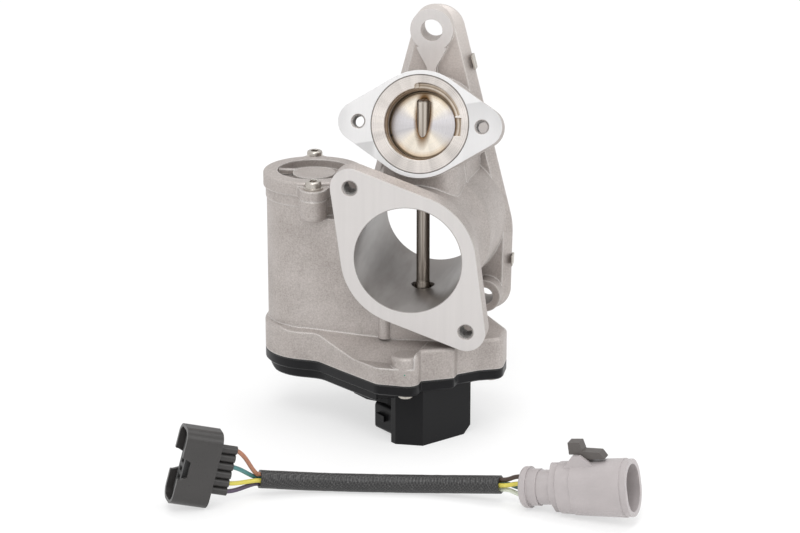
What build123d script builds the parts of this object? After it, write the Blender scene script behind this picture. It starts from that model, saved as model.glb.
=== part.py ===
# Electric exhaust gas recirculation valve with its adapter lead, in millimetres.
# Origin: the air duct's axis on the front flange face. +X right, +Y along the duct, +Z up.
import math
import os

from build123d import *

# air duct
duct_bore = 50.0
duct_length = 81.0
duct_neck_r = 28.0
duct_crest_r = 31.5
duct_crest_y = 45.0
duct_rear_r = 34.0

# front flange of the duct, a rhombus with two threaded ears
flange_thick = 12.0
flange_hub_r = 31.5
flange_ear_r = 9.2
flange_ear_x = 27.0
flange_ear_z = 33.0
thread_m8_r = 3.4
thread_chamfer = 0.45

# rear plate with its lifting eye and two lower bosses
plate_thick = 8.0
plate_top_x = 0.7
plate_top_z = 90.2
plate_top_r = 12.3
plate_belly_z = -8.0
plate_belly_r = 37.0
plate_foot_x = 25.5
plate_foot_z = -37.0
plate_foot_r = 11.0
plate_edge_slope = 3.4
plate_edge_depth = 6.5
eye_x = -1.3
eye_z = 92.2
eye_boss_r = 10.25
eye_hole_r = 5.2
eye_boss_length = 12.0
foot_hole_x = 25.6
foot_hole_r = 4.3
foot_boss_r = 8.0
foot_boss_length = 16.0
eye_rib_width = 4.2
eye_funnel_width = 15.0
rear_gasket_thick = 1.0
gasket_inset = 0.8
tab_high_z = 75.5
tab_low_z = -22.0
tab_high_width = 7.0
tab_low_width = 5.0
tab_reach = 5.5
tab_sheet = 0.7

# shaft and flap
shaft_y = 40.5
shaft_r = 3.15
journal_r = 4.0
gear_seat_r = 3.0
shaft_top_z = 65.5
running_gap = 0.05
seat_gap = 0.02
flap_tilt = 18.0
flap_z = 53.4
flap_r = 15.1
flap_thick = 1.8
flap_open_angle = 75.0
ring_wide = 1.0
ring_outer_r = flap_r + 0.55
ring_inner_r = flap_r - 0.9

# upper port, tilted up by the flap's tilt
port_depth = 10.6
port_bore_r = flap_r + 0.7
port_hub_r = 25.0
port_ear_r = 9.5
port_ear_x = 29.0
port_flange_thick = 9.0
port_hole_r = 3.05
port_body_length = 46.0
seat_outer_r = 23.1
seat_length = 12.4
seat_recess_r = 16.8
seat_recess_depth = 5.0
notch_outer_r = 19.2
notch_depth = 3.5
passage_length = 36.0
outlet_y = 58.0
outlet_r = 10.0

# wall on the right between port, duct and rear plate, with its V rib
web_r = 17.5
web_high_z = 44.0
web_low_z = 12.0
v_rib_foot = (50.0, 23.0)
v_rib_tops = ((43.0, 38.0), (60.0, 35.0))

# gear case and the plane where its cover starts
case_seam_z = -57.0
case_roof_z = -42.0
case_roof = 3.0
case_wall = 3.0
case_rear_y = 68.5
ledge_left = (-52.0, 18.0)
ledge_right = (-8.0, 11.0)
slope_run = 15.0
slope_rim_z = -49.0
front_boss_z = -43.6
column_place = (-12.8, 11.5)
column_r = 3.2
screw_front = (0.0, -5.4)
screw_right = (35.0, 26.8)
screw_rear = (14.0, 61.0)
screw_mid = (-26.0, 64.0)
screw_left = (-70.0, 47.0)
screw_boss_r = 5.3
screw_m4_r = 2.0
screw_head_r = 3.8
screw_length = 14.0

# shaft guide, seal and bearing in the case roof
bearing_r = 8.0
bearing_wall = 1.5
bearing_low_z = -50.0
bearing_top_z = -45.1
seal_top_z = -43.0
bush_top_z = -27.5

# torsion spring round the bearing's boss
spring_r = 10.6
spring_wire_d = 0.8
spring_pitch = 1.0
spring_turns = 4.25
spring_low_z = -50.9
spring_leg = 6.0
spring_post_r = 1.2

# gear train: motor pinion, stepped intermediate gear and the flap's toothed sector
pinion_teeth = 12
wheel_teeth = 44
fine_module = 0.8
step_teeth = 12
sector_teeth = 48
coarse_module = 1.0
pressure_angle = 25.0
tooth_addendum = 0.9
tooth_dedendum = 1.15
tooth_play = 0.06
wheel_top_z = -47.0
wheel_thick = 3.5
sector_top_z = -51.5
sector_thick = 5.5
hub_low_z = -60.0
step_low_z = -57.3
pin_low_z = -63.5
pin_r = 2.0
fine_centre = fine_module * (pinion_teeth + wheel_teeth) / 2
coarse_centre = coarse_module * (step_teeth + sector_teeth) / 2
wheel_x = -coarse_centre
motor_x = wheel_x - fine_centre
contact_x = motor_x - 11.0

# motor tube, motor and end cap
tube_r = 22.5
tube_wall = 2.7
case_end_r = tube_r + 1.0
tube_top_z = 22.8
collar_r = tube_r + 0.45
collar_z = 17.5
can_gap = 0.3
can_length = 56.0
can_nose_r = 5.0
rotor_r = 1.6
cap_rim_r = tube_r + 1.5
cap_height = 6.7
cap_recess_r = tube_r - 5.2
cap_recess_depth = 4.0
cap_platform_r = 10.0
cap_ear_r = 6.3
cap_ear_height = 4.7
cap_screw_radius = tube_r + 4.0
cap_screw_angle = -78.5
cap_boss_length = 10.6
cap_spigot_length = 7.3
cap_bore_r = tube_r - tube_wall - 3.3
motor_web_x = -16.0
motor_web_y = 31.0
motor_web_r = 19.0
motor_web_top_z = 13.0
motor_screw_side = 12.0
motor_screw_r = 1.25
contact_side = 4.0
contact_thick = 0.8
contact_wide = 3.0

# gear cover and its connector
case_left_x = motor_x - case_end_r
gasket_thick = 0.8
cover_depth = 9.2
rim_depth = 4.6
pocket_inset = 2.2
slope_length = 9.0
screw_recess_r = screw_head_r + 0.9
cover_wall = 2.5
cover_floor = 2.3
socket_angle = 138.0
socket_corner = (7.5, -1.5)
socket_bottom_z = -90.0
socket_block_width = 28.5
socket_block_depth = 13.0
shroud_low_z = -88.5
shroud_high_z = -75.0
shroud_start = -6.0
shroud_width = 33.0
shroud_reach = 16.0
shroud_wall = 1.8
blade_width = 1.5
blade_thick = 0.8
ways = 6
blade_pitch = 4.4
frame_thick = 0.8
board_left = -12.0
board_width = 32.0
board_front_y = 22.0
board_depth = 28.0
board_thick = 1.2

# adapter lead, lying in front of the valve on the level of the connector's underside
floor_z = socket_bottom_z
sleeve_d = 8.4
wire_d = 2.0

os.makedirs("parts", exist_ok=True)


def save(shape, name):
    shape.label = name
    export_step(shape, f"parts/{name}.step")


def hull_face(circles):
    """Flat face inside the tight loop around circles given as (x, y, radius)."""
    edges = []
    for cx, cy, radius in circles:
        edges += (Pos(cx, cy) * Circle(radius)).edges()
    return make_face(make_hull(edges).edges())


def disc(radius, x, y, low, high):
    return Pos(x, y, low) * extrude(Circle(radius), high - low)


def facing_front(y):
    """Plane whose x is +X, whose y is +Z and which looks towards the viewer."""
    return Plane(origin=(0, y, 0), x_dir=(1, 0, 0), z_dir=(0, -1, 0))


def across_x(plan, near, far):
    """Extrude a plan drawn in y and z along local x."""
    return Plane(origin=(near, 0, 0), x_dir=(0, 1, 0), z_dir=(1, 0, 0)) * extrude(plan, far - near)


def bar_y(radius, x, z, near, far):
    """Round bar along the duct from y = near to y = far."""
    return facing_front(far) * Pos(x, z) * extrude(Circle(radius), far - near)


tilt = math.radians(flap_tilt)
port_normal = Vector(0, -math.cos(tilt), math.sin(tilt))
flap_centre = Vector(0, shaft_y, flap_z)
port_face_centre = flap_centre + port_normal * port_depth


def port_plane(depth):
    """Plane across the port, depth below its flange face, with x along +X."""
    return Plane(origin=port_face_centre - port_normal * depth, x_dir=(1, 0, 0), z_dir=port_normal)


def port_bar(radius, near, far, x=0.0, y=0.0):
    """Round bar along the port's axis between two depths."""
    return port_plane(far) * Pos(x, y) * extrude(Circle(radius), far - near)


# Toothed profiles

def involute(angle):
    return math.tan(angle) - angle


def gear_face(teeth, module, count=None, first=0.0, phase=0.0, hub_r=0.0):
    """Involute gear outline; with count it is a sector that starts at the angle first."""
    pitch_r = module * teeth / 2
    base_r = pitch_r * math.cos(math.radians(pressure_angle))
    tip_r = pitch_r + tooth_addendum * module
    root_r = pitch_r - tooth_dedendum * module
    half = math.pi / (2 * teeth) - tooth_play * module / pitch_r
    at_pitch = involute(math.radians(pressure_angle))

    def flank(radius):
        r = max(radius, base_r)
        return half + at_pitch - involute(math.acos(base_r / r))

    def spot(radius, angle):
        return (radius * math.cos(angle), radius * math.sin(angle))

    start_r = max(base_r, root_r)
    middle_r = (start_r + tip_r) / 2
    whole = count is None
    number = teeth if whole else count
    step = 2 * math.pi / teeth
    edges = []
    for index in range(number):
        axis = math.radians(first if not whole else phase) + index * step
        low, mid, high = flank(start_r), flank(middle_r), flank(tip_r)
        root_left = spot(root_r, axis - low)
        foot_left = spot(start_r, axis - low)
        tip_left = spot(tip_r, axis - high)
        tip_right = spot(tip_r, axis + high)
        foot_right = spot(start_r, axis + low)
        root_right = spot(root_r, axis + low)
        if start_r > root_r + 1e-6:
            edges.append(Line(root_left, foot_left))
            edges.append(Line(foot_right, root_right))
        edges.append(ThreePointArc(foot_left, spot(middle_r, axis - mid), tip_left))
        edges.append(ThreePointArc(tip_left, spot(tip_r, axis), tip_right))
        edges.append(ThreePointArc(tip_right, spot(middle_r, axis + mid), foot_right))
        last = index == number - 1
        if not last or whole:
            following = axis + step - low
            valley = spot(root_r, axis + step / 2)
            edges.append(ThreePointArc(root_right, valley, spot(root_r, following)))
    if not whole:
        begin = math.radians(first) - flank(start_r)
        end = math.radians(first) + (number - 1) * step + flank(start_r)
        edges.append(Line(spot(hub_r, begin), spot(root_r, begin)))
        edges.append(Line(spot(root_r, end), spot(hub_r, end)))
        middle = (begin + end) / 2
        edges.append(ThreePointArc(spot(hub_r, begin), spot(hub_r, middle), spot(hub_r, end)))
    return make_face(edges)


# Main housing, one aluminium casting

def case_outline():
    """Plan of the gear case, shared by its cover and gasket."""
    end_front_y = shaft_y - case_end_r
    end_rear_y = shaft_y + case_end_r
    corners = [
        (case_left_x, end_front_y), (-46.0, end_front_y - 2.8), (-34.0, 4.8), (-12.5, -11.4), (6.8, -12.2),
        (6.8, -3.8), (21.2, 3.2), (22.0, 8.5), (31.0, 15.5), (41.5, 20.0),
        (41.5, 34.5), (20.0, case_rear_y), (-30.0, case_rear_y),
        (-50.0, end_rear_y), (case_left_x, end_rear_y),
    ]
    end_r = case_end_r - 0.5
    radii = [end_r, 10.0, 10.0, 6.0, 5.5, 1.5, 2.0, 3.0, 6.0, 5.0, 6.0, 8.0, 20.0, 10.0, end_r]
    plan = make_face(FilletPolyline(*corners, radius=radii, close=True).edges())
    return plan


def cover_screw_places():
    return [screw_front, screw_right, screw_rear, screw_mid, screw_left]


def duct_shell():
    neck = flange_thick + 14.0
    with BuildSketch(Plane.YZ) as profile:
        with BuildLine():
            Polyline((0, 0), (0, duct_neck_r), (neck, duct_neck_r))
            Spline((neck, duct_neck_r), (duct_crest_y - 1.2, duct_crest_r - 0.5),
                   (duct_crest_y, duct_crest_r),
                   tangents=((1, 0), (1, 0.15)))
            Polyline((duct_crest_y, duct_crest_r), (duct_length - plate_thick, duct_rear_r),
                     (duct_length, duct_rear_r), (duct_length, 0), (0, 0))
        make_face()
    return revolve(profile.sketch, Axis.Y, 360)


def front_flange():
    plan = hull_face([
        (0, 0, flange_hub_r),
        (-flange_ear_x, flange_ear_z, flange_ear_r),
        (flange_ear_x, -flange_ear_z, flange_ear_r),
    ])
    body = extrude(facing_front(flange_thick) * plan, flange_thick)
    return fillet(body.faces().sort_by(Axis.Y)[-1].edges(), 1.5)


def rear_plate():
    plan = hull_face([
        (plate_top_x, plate_top_z, plate_top_r),
        (0, plate_belly_z, plate_belly_r),
        (plate_foot_x, plate_foot_z, plate_foot_r),
        (-plate_foot_x, plate_foot_z, plate_foot_r),
    ])
    body = extrude(facing_front(duct_length) * plan, plate_thick)
    near = body.faces().sort_by(Axis.Y)[0]
    body = chamfer(near.edges(), length=plate_edge_slope, length2=plate_edge_depth, reference=near)
    boss_front = duct_length - eye_boss_length
    body += bar_y(eye_boss_r, eye_x, eye_z, boss_front, duct_length)
    foot_front = duct_length - foot_boss_length
    body += bar_y(foot_boss_r, foot_hole_x, plate_foot_z, foot_front, duct_length)
    body += bar_y(foot_boss_r, -foot_hole_x, plate_foot_z, foot_front, duct_length)
    stem, half = eye_rib_width / 2, eye_funnel_width / 2
    funnel = FilletPolyline(
        (-half, 2), (-stem, -8), (-stem, -24), (stem, -24), (stem, -8), (half, 2),
        radius=[0.5, 4, 1, 1, 4, 0.5], close=True)
    rib_plan = Pos(eye_x, eye_z - eye_boss_r) * make_face(funnel.edges())
    body += extrude(facing_front(duct_length - 1) * rib_plan, duct_length - 1 - boss_front)
    return body


def port_body():
    plan = hull_face([(0, 0, port_hub_r), (-port_ear_x, 0, port_ear_r), (port_ear_x, 0, port_ear_r)])
    flange = extrude(port_plane(port_flange_thick) * plan, port_flange_thick)
    barrel = port_bar(port_hub_r, port_flange_thick - 1, port_body_length)
    lug = extrude(RectangleRounded(13, 9, 2), 8)
    lug = port_plane(port_flange_thick + 7) * Pos(-port_ear_x + 3.5, -5.5) * lug
    neck_plan = hull_face([(-9, 36, 9), (9, 36, 9), (-14, 70, 8), (14, 70, 8)])
    neck = Pos(0, 0, 20) * extrude(neck_plan, 26)
    body = flange + barrel + lug + neck
    limit = Pos(0, duct_length / 2, 60) * Box(200, duct_length - 2, 200)
    return body & limit


def side_web():
    """Wall between the port's barrel, the duct and the rear plate, with two ribs that meet low down."""
    near, far = duct_crest_y - 3, duct_length - 2
    plan = hull_face([(0, web_high_z, web_r), (0, web_low_z, web_r)])
    body = extrude(facing_front(far) * plan, far - near)
    for top_y, top_z in v_rib_tops:
        run = Vector(0, top_y - v_rib_foot[0], top_z - v_rib_foot[1])
        plane = Plane(origin=(0, *v_rib_foot), x_dir=(1, 0, 0), z_dir=run)
        body += plane * Pos(web_r - 0.5) * extrude(RectangleRounded(6, 3.2, 1.2), run.length)
    return body


def cap_screw_places():
    places = []
    for turn in (0, 180):
        angle = math.radians(cap_screw_angle + turn)
        x = motor_x + cap_screw_radius * math.cos(angle)
        places.append((x, shaft_y + cap_screw_radius * math.sin(angle)))
    return places


def motor_tube():
    body = disc(tube_r, motor_x, shaft_y, case_roof_z - 1, tube_top_z)
    body += disc(collar_r, motor_x, shaft_y, collar_z, tube_top_z)
    for x, y in cap_screw_places():
        inward = Vector(motor_x - x, shaft_y - y).normalized() * 6
        plan = hull_face([(x, y, cap_ear_r), (x + inward.X, y + inward.Y, cap_ear_r)])
        boss = Pos(0, 0, tube_top_z - cap_boss_length) * extrude(plan, cap_boss_length)
        body += fillet(boss.faces().sort_by(Axis.Z)[0].edges(), 3.0)
    wall = hull_face([(motor_x, shaft_y, tube_r - 0.3), (motor_web_x, motor_web_y, motor_web_r)])
    return body + Pos(0, 0, case_roof_z - 1) * extrude(wall, motor_web_top_z - case_roof_z + 1)


def front_slope():
    """What is cut off the roof in front of a ledge, down to the rim along the case's front."""
    ledge = Vector(*ledge_right) - Vector(*ledge_left)
    plane = Plane(origin=(*ledge_left, case_roof_z), x_dir=ledge, z_dir=(0, 0, 1))
    run = slope_run
    drop = case_roof_z - slope_rim_z
    side = make_face(Polyline((0, 0), (-run, -drop), (-run - 20, -drop), (-run - 20, 5), (0, 5), (0, 0)))
    return plane * across_x(side, -40, ledge.length + 16)


def gear_case():
    height = case_roof_z - case_seam_z
    body = Pos(0, 0, case_seam_z) * extrude(case_outline(), height)
    top = body.faces().sort_by(Axis.Z)[-1]
    body = fillet(top.edges(), 1.8)
    body -= front_slope()
    x, y = screw_front
    boss = disc(screw_boss_r + 1.4, x, y, case_seam_z, front_boss_z)
    body += fillet(boss.faces().sort_by(Axis.Z)[-1].edges(), 1.6)
    web_top = -duct_neck_r + 8
    web = Pos(2, 37, (case_roof_z + web_top) / 2) * Box(32, 54, web_top - case_roof_z)
    return body + web + disc(column_r, *column_place, case_roof_z, web_top)


def main_housing():
    body = duct_shell() + front_flange() + rear_plate() + port_body() + motor_tube() + gear_case()
    body += side_web()

    body -= bar_y(duct_bore / 2, 0, 0, -1, duct_length + 1)
    body -= port_bar(seat_outer_r + seat_gap, -1, seat_length)
    body -= port_bar(port_bore_r, 0, passage_length)
    body -= disc(outlet_r, 0, outlet_y, 10, 46)
    body -= disc(journal_r + 1.5, 0, shaft_y, case_roof_z - 6, 0)
    body -= disc(shaft_r + 0.6, 0, shaft_y, 0, flap_z)
    body -= disc(tube_r - tube_wall, motor_x, shaft_y, case_roof_z, tube_top_z + 1)
    body -= disc(can_nose_r + 0.1, motor_x, shaft_y, case_seam_z, case_roof_z + 1)

    cavity = offset(case_outline(), -case_wall)
    hollow = Pos(0, 0, case_seam_z - 1) * extrude(cavity, case_roof_z - case_roof - case_seam_z + 1)
    for x, y in cover_screw_places():
        hollow -= disc(screw_boss_r, x, y, case_seam_z - 1, case_roof_z)
    hollow -= disc(bearing_r + bearing_wall, 0, shaft_y, bearing_low_z, case_roof_z)
    post_y = shaft_y + spring_r - spring_wire_d / 2 - spring_post_r - running_gap
    hollow -= disc(spring_post_r, -spring_leg + 1, post_y, case_roof_z - case_roof - 2.1, case_roof_z)
    hollow -= disc(pin_r + 2, wheel_x, shaft_y, case_roof_z - case_roof - 1.2, case_roof_z)
    hollow -= Pos(0, 0, -case_roof) * front_slope()
    body -= hollow
    body -= disc(bearing_r + seat_gap, 0, shaft_y, case_seam_z, seal_top_z)
    body -= disc(pin_r + seat_gap, wheel_x, shaft_y, case_seam_z, case_roof_z - 0.2)
    for side in (-1, 1):
        y = shaft_y + side * motor_screw_side
        body -= disc(motor_screw_r + 0.35, motor_x, y, case_seam_z, case_roof_z + 1)
        body -= Pos(contact_x, shaft_y + side * contact_side, case_roof_z) * Box(1.6, 4, 12)
    for x, y in cover_screw_places():
        body -= disc(screw_m4_r, x, y, case_seam_z - 1, case_seam_z + 11)
    for x, y in cap_screw_places():
        body -= disc(screw_m4_r, x, y, tube_top_z - 9, tube_top_z + 1)

    for side in (-1, 1):
        x, z = side * flange_ear_x, -side * flange_ear_z
        body -= bar_y(thread_m8_r, x, z, -1, flange_thick + 1)
        mouth = extrude(Circle(thread_m8_r), thread_chamfer, taper=-45)
        body -= facing_front(thread_chamfer) * Pos(x, z) * mouth
        body -= port_bar(port_hole_r, -1, port_flange_thick + 8, x=side * port_ear_x)
        mouth = extrude(Circle(port_hole_r), thread_chamfer, taper=-45)
        body -= port_plane(thread_chamfer) * Pos(side * port_ear_x, 0) * mouth
        body -= bar_y(foot_hole_r, side * foot_hole_x, plate_foot_z, 60, duct_length + 1)
    body -= bar_y(eye_hole_r, eye_x, eye_z, 60, duct_length + 1)
    return body


# Port insert and flap

def seat_ring():
    ring = port_bar(seat_outer_r, 0, seat_length) - port_bar(port_bore_r, -1, seat_length + 1)
    ring -= port_bar(seat_recess_r, -1, seat_recess_depth)
    arc = port_bar(notch_outer_r, -1, notch_depth) - port_bar(port_bore_r - 1, -2, notch_depth + 1)
    wedge = make_face(Polyline((0, 0), (30, 8), (30, 30), (-3, 30), (0, 0)))
    ring -= arc & (port_plane(notch_depth) * extrude(wedge, notch_depth + 1))
    ring -= port_plane(6) * Pos(16.8, -0.5) * extrude(Rectangle(5, 8.4), 7)
    ring -= port_plane(2) * Pos(-0.3, seat_recess_r) * extrude(RectangleRounded(6.4, 4, 1), 3)
    return ring - disc(shaft_r + 0.6, 0, shaft_y, 0, flap_z)


def flap_disc():
    half = flap_thick / 2
    with BuildSketch(Plane.XZ) as profile:
        with BuildLine():
            Polyline((0, -half), (flap_r, -half), (flap_r, half))
            ThreePointArc((flap_r, half), (flap_r / 2, half + 0.5), (0, half + 0.7))
            Line((0, half + 0.7), (0, -half))
        make_face()
    blank = revolve(profile.sketch, Axis.Z, 360)
    groove = Cylinder(flap_r + 1, ring_wide + 0.1) - Cylinder(ring_inner_r - 0.1, ring_wide + 1)
    return port_plane(port_depth) * (blank - groove) - disc(shaft_r + seat_gap, 0, shaft_y, 0, 100)


def piston_ring():
    ring = Cylinder(ring_outer_r, ring_wide) - Cylinder(ring_inner_r, ring_wide + 1)
    ring -= Rot(0, 0, 200) * Pos(ring_outer_r, 0) * Box(6, 0.8, 4)
    return port_plane(port_depth) * ring - disc(shaft_r + 0.1, 0, shaft_y, 0, 100)


def valve_shaft():
    floor_z = -duct_bore / 2
    rod = disc(shaft_r, 0, shaft_y, floor_z + 3, shaft_top_z)
    flare = Pos(0, shaft_y, floor_z + 0.5) * Cone(journal_r, shaft_r, 5)
    journal = disc(journal_r, 0, shaft_y, bearing_low_z - 0.2, floor_z - 2)
    seat = disc(gear_seat_r, 0, shaft_y, hub_low_z, bearing_low_z)
    rod = chamfer(rod.edges().group_by(Axis.Z)[-1], 0.5)
    return rod + flare + journal + seat


def guide_bush():
    return sleeve_ring(journal_r + 1.5 - seat_gap, journal_r + running_gap, seal_top_z, bush_top_z)


def sleeve_ring(outer, inner, low, high, x=0.0, y=None):
    y = shaft_y if y is None else y
    return disc(outer, x, y, low, high) - disc(inner, x, y, low - 1, high + 1)


def shaft_seal():
    body = sleeve_ring(bearing_r, journal_r + running_gap, bearing_top_z, seal_top_z)
    return body - sleeve_ring(bearing_r - 1.6, journal_r + 1.2, bearing_top_z - 1, bearing_top_z + 1.2)


def shaft_bearing():
    outer = sleeve_ring(bearing_r, bearing_r - 1.3, bearing_low_z, bearing_top_z)
    inner = sleeve_ring(journal_r + 1.3, journal_r + running_gap, bearing_low_z, bearing_top_z)
    shield = sleeve_ring(bearing_r - 1.3, journal_r + 1.3, bearing_low_z + 0.6, bearing_top_z - 0.6)
    return outer + inner + shield


def return_spring():
    """Torsion spring that turns the flap shut, drawn with its lower leg just above the sector."""
    height = spring_pitch * spring_turns
    coil = Pos(0, shaft_y, spring_low_z) * Helix(spring_pitch, height, spring_r)
    section = Circle(spring_wire_d / 2)
    body = sweep(Plane(origin=coil @ 0, z_dir=coil % 0) * section, path=coil, is_frenet=True)
    for end, way in ((0, -1), (1, 1)):
        leg = extrude(section, spring_leg)
        body += Plane(origin=coil @ end, z_dir=(coil % end) * way) * leg
    return body


# Gear train

def gear(face, x, low, high, turn=0.0):
    return Pos(x, shaft_y, low) * Rot(0, 0, turn) * extrude(face, high - low)


def sector_gear():
    step = 360 / sector_teeth
    steps_below = math.ceil(flap_open_angle / step) + 2
    first = 180 - steps_below * step
    plan = gear_face(sector_teeth, coarse_module, steps_below + 3, first, hub_r=5.0)
    plate = gear(plan, 0, sector_top_z - sector_thick, sector_top_z)
    hub = disc(7.5, 0, shaft_y, hub_low_z, bearing_low_z - 0.7)
    body = plate + hub
    for index in range(3):
        angle = math.radians(first + 20 + index * 32.5)
        body -= disc(3.2, 14 * math.cos(angle), shaft_y + 14 * math.sin(angle), sector_top_z - 9, 0)
    return body - disc(gear_seat_r + seat_gap, 0, shaft_y, hub_low_z - 1, 0)


def intermediate_gear():
    wheel_low = wheel_top_z - wheel_thick
    wheel = gear(gear_face(wheel_teeth, fine_module), wheel_x, wheel_low, wheel_top_z)
    dish = sleeve_ring(13.5, 6.5, wheel_top_z - 1.0, wheel_top_z + 1, wheel_x)
    step_plan = gear_face(step_teeth, coarse_module, phase=180 / step_teeth)
    body = wheel - dish + gear(step_plan, wheel_x, step_low_z, wheel_low + 0.1)
    return body - disc(pin_r + running_gap, wheel_x, shaft_y, step_low_z - 1, 0)


def intermediate_pin():
    return chamfer(disc(pin_r, wheel_x, shaft_y, pin_low_z, case_roof_z - 0.3).edges(), 0.3)


def motor_pinion():
    plan = gear_face(pinion_teeth, fine_module, phase=180 / pinion_teeth)
    body = gear(plan, motor_x, wheel_top_z - wheel_thick - 0.5, wheel_top_z + 0.6)
    return body - disc(rotor_r + seat_gap, motor_x, shaft_y, -80, 0)


def rotor_shaft():
    body = disc(rotor_r, motor_x, shaft_y, wheel_top_z - wheel_thick - 1.2, case_roof_z + 5)
    return chamfer(body.edges(), 0.25)


# Motor and its cap

def motor_can():
    can_r = tube_r - tube_wall - can_gap
    body = disc(can_r, motor_x, shaft_y, case_roof_z, case_roof_z + can_length)
    body = fillet(body.edges(), 1.5)
    body += disc(can_nose_r, motor_x, shaft_y, case_roof_z - case_roof, case_roof_z + 1)
    body -= disc(rotor_r + running_gap, motor_x, shaft_y, case_roof_z - 6, case_roof_z + 6)
    for side in (-1, 1):
        y = shaft_y + side * motor_screw_side
        body -= disc(motor_screw_r + seat_gap, motor_x, y, case_roof_z - 1, case_roof_z + 5)
    return body


def motor_screws():
    group = []
    for side in (-1, 1):
        y = shaft_y + side * motor_screw_side
        low = case_roof_z - case_roof
        thread = disc(motor_screw_r, motor_x, y, low - 0.5, case_roof_z + 4)
        group.append(thread + disc(2.2 * motor_screw_r, motor_x, y, low - 1.8, low))
    return Compound(children=group)


def motor_contacts():
    group = []
    for side in (-1, 1):
        low = cover_floor_z + frame_thick
        high = case_roof_z
        blade = Box(contact_thick, contact_wide, high - low)
        group.append(Pos(contact_x, shaft_y + side * contact_side, (low + high) / 2) * blade)
    return Compound(children=group)


def motor_cap():
    top = tube_top_z + cap_height
    body = disc(cap_rim_r, motor_x, shaft_y, tube_top_z, top)
    body = fillet(body.edges().group_by(Axis.Z)[-1], 1.2)
    for x, y in cap_screw_places():
        inner_x = x * 0.7 + motor_x * 0.3
        inner_y = y * 0.7 + shaft_y * 0.3
        ear = hull_face([(x, y, cap_ear_r), (inner_x, inner_y, cap_ear_r + 2)])
        body += Pos(0, 0, tube_top_z) * extrude(ear, cap_ear_height)
    recess = disc(cap_recess_r, motor_x, shaft_y, top - cap_recess_depth, top + 1)
    recess -= disc(cap_platform_r, motor_x, shaft_y, top - cap_recess_depth, top - 1.6)
    recess -= Pos(motor_x - 13.5, shaft_y + 2.5, top - 2.4) * Box(9, 2.2, 2.4)
    body -= recess
    low = tube_top_z - cap_spigot_length
    spigot = sleeve_ring(tube_r - tube_wall - 0.05, cap_bore_r, low, tube_top_z, motor_x)
    groove = sleeve_ring(tube_r, tube_r - tube_wall - 1.7, tube_top_z - 3.4, tube_top_z - 1.5, motor_x)
    body += spigot - groove
    for x, y in cap_screw_places():
        body -= disc(screw_m4_r + 0.2, x, y, tube_top_z - 1, top + 1)
        body -= disc(screw_head_r + 1.0, x, y, tube_top_z + cap_ear_height, top + 1)
    return body


def cap_seal():
    section_r = 0.75
    ring = Torus(tube_r - tube_wall - 0.1 - section_r, section_r)
    return Pos(motor_x, shaft_y, tube_top_z - 2.45) * ring


def wave_washer():
    low = case_roof_z + can_length
    return sleeve_ring(cap_bore_r + 2.3, cap_bore_r + 0.1, low, tube_top_z - cap_spigot_length, motor_x)


def cap_screws():
    group = []
    top = tube_top_z + cap_ear_height
    for x, y in cap_screw_places():
        body = disc(screw_m4_r - seat_gap, x, y, tube_top_z - 8.5, top + 0.5)
        body += disc(screw_head_r + 0.7, x, y, top, top + 0.9)
        head = disc(screw_head_r, x, y, top + 0.9, top + 3.9)
        head = fillet(head.edges().group_by(Axis.Z)[-1], 0.8)
        socket = Pos(x, y, top + 2.4) * extrude(RegularPolygon(1.8, 6), 2)
        group.append(body + head - socket)
    return Compound(children=group)


# Cover, its gasket, screws and electrics

cover_top_z = case_seam_z - gasket_thick
cover_low_z = cover_top_z - cover_depth
cover_floor_z = cover_low_z + cover_floor
rim_low_z = cover_top_z - rim_depth
socket_turn = math.radians(socket_angle)
socket_out = (math.cos(socket_turn), math.sin(socket_turn))
socket_along = (math.sin(socket_turn), -math.cos(socket_turn))


def socket_point(along, out):
    x = socket_corner[0] + along * socket_along[0] + out * socket_out[0]
    y = socket_corner[1] + along * socket_along[1] + out * socket_out[1]
    return (x, y)


def socket_block(along_low, along_high, out_low, out_high, low, high):
    x, y = socket_point((along_low + along_high) / 2, (out_low + out_high) / 2)
    size = Box(along_high - along_low, out_high - out_low, high - low)
    return Pos(x, y, (low + high) / 2) * Rot(0, 0, socket_angle - 90) * size


def left_slope(height_at_end, run, rise):
    """Half space below a plane that slopes down from the left end of the case."""
    left = case_left_x - 20
    right = case_left_x + run + 20
    low = -120
    slope = rise / run
    plan = make_face(Polyline(
        (left, low), (right, low), (right, height_at_end - slope * (run + 20)),
        (left, height_at_end + slope * 20), (left, low)))
    return extrude(facing_front(120) * plan, 140)


def pocket_plan():
    """Deeper part of the cover under the gears, clear of the front and right screws."""
    edge = make_face(Polyline(
        (-90, -30), (-16, -30), (-13, -6.6), (-8, -3), (4, 2.6), (14, 10), (22, 20),
        (30, 30), (30, 46), (20, 66), (20, 90), (-90, 90), (-90, -30)))
    return offset(case_outline(), -pocket_inset) & edge


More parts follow.
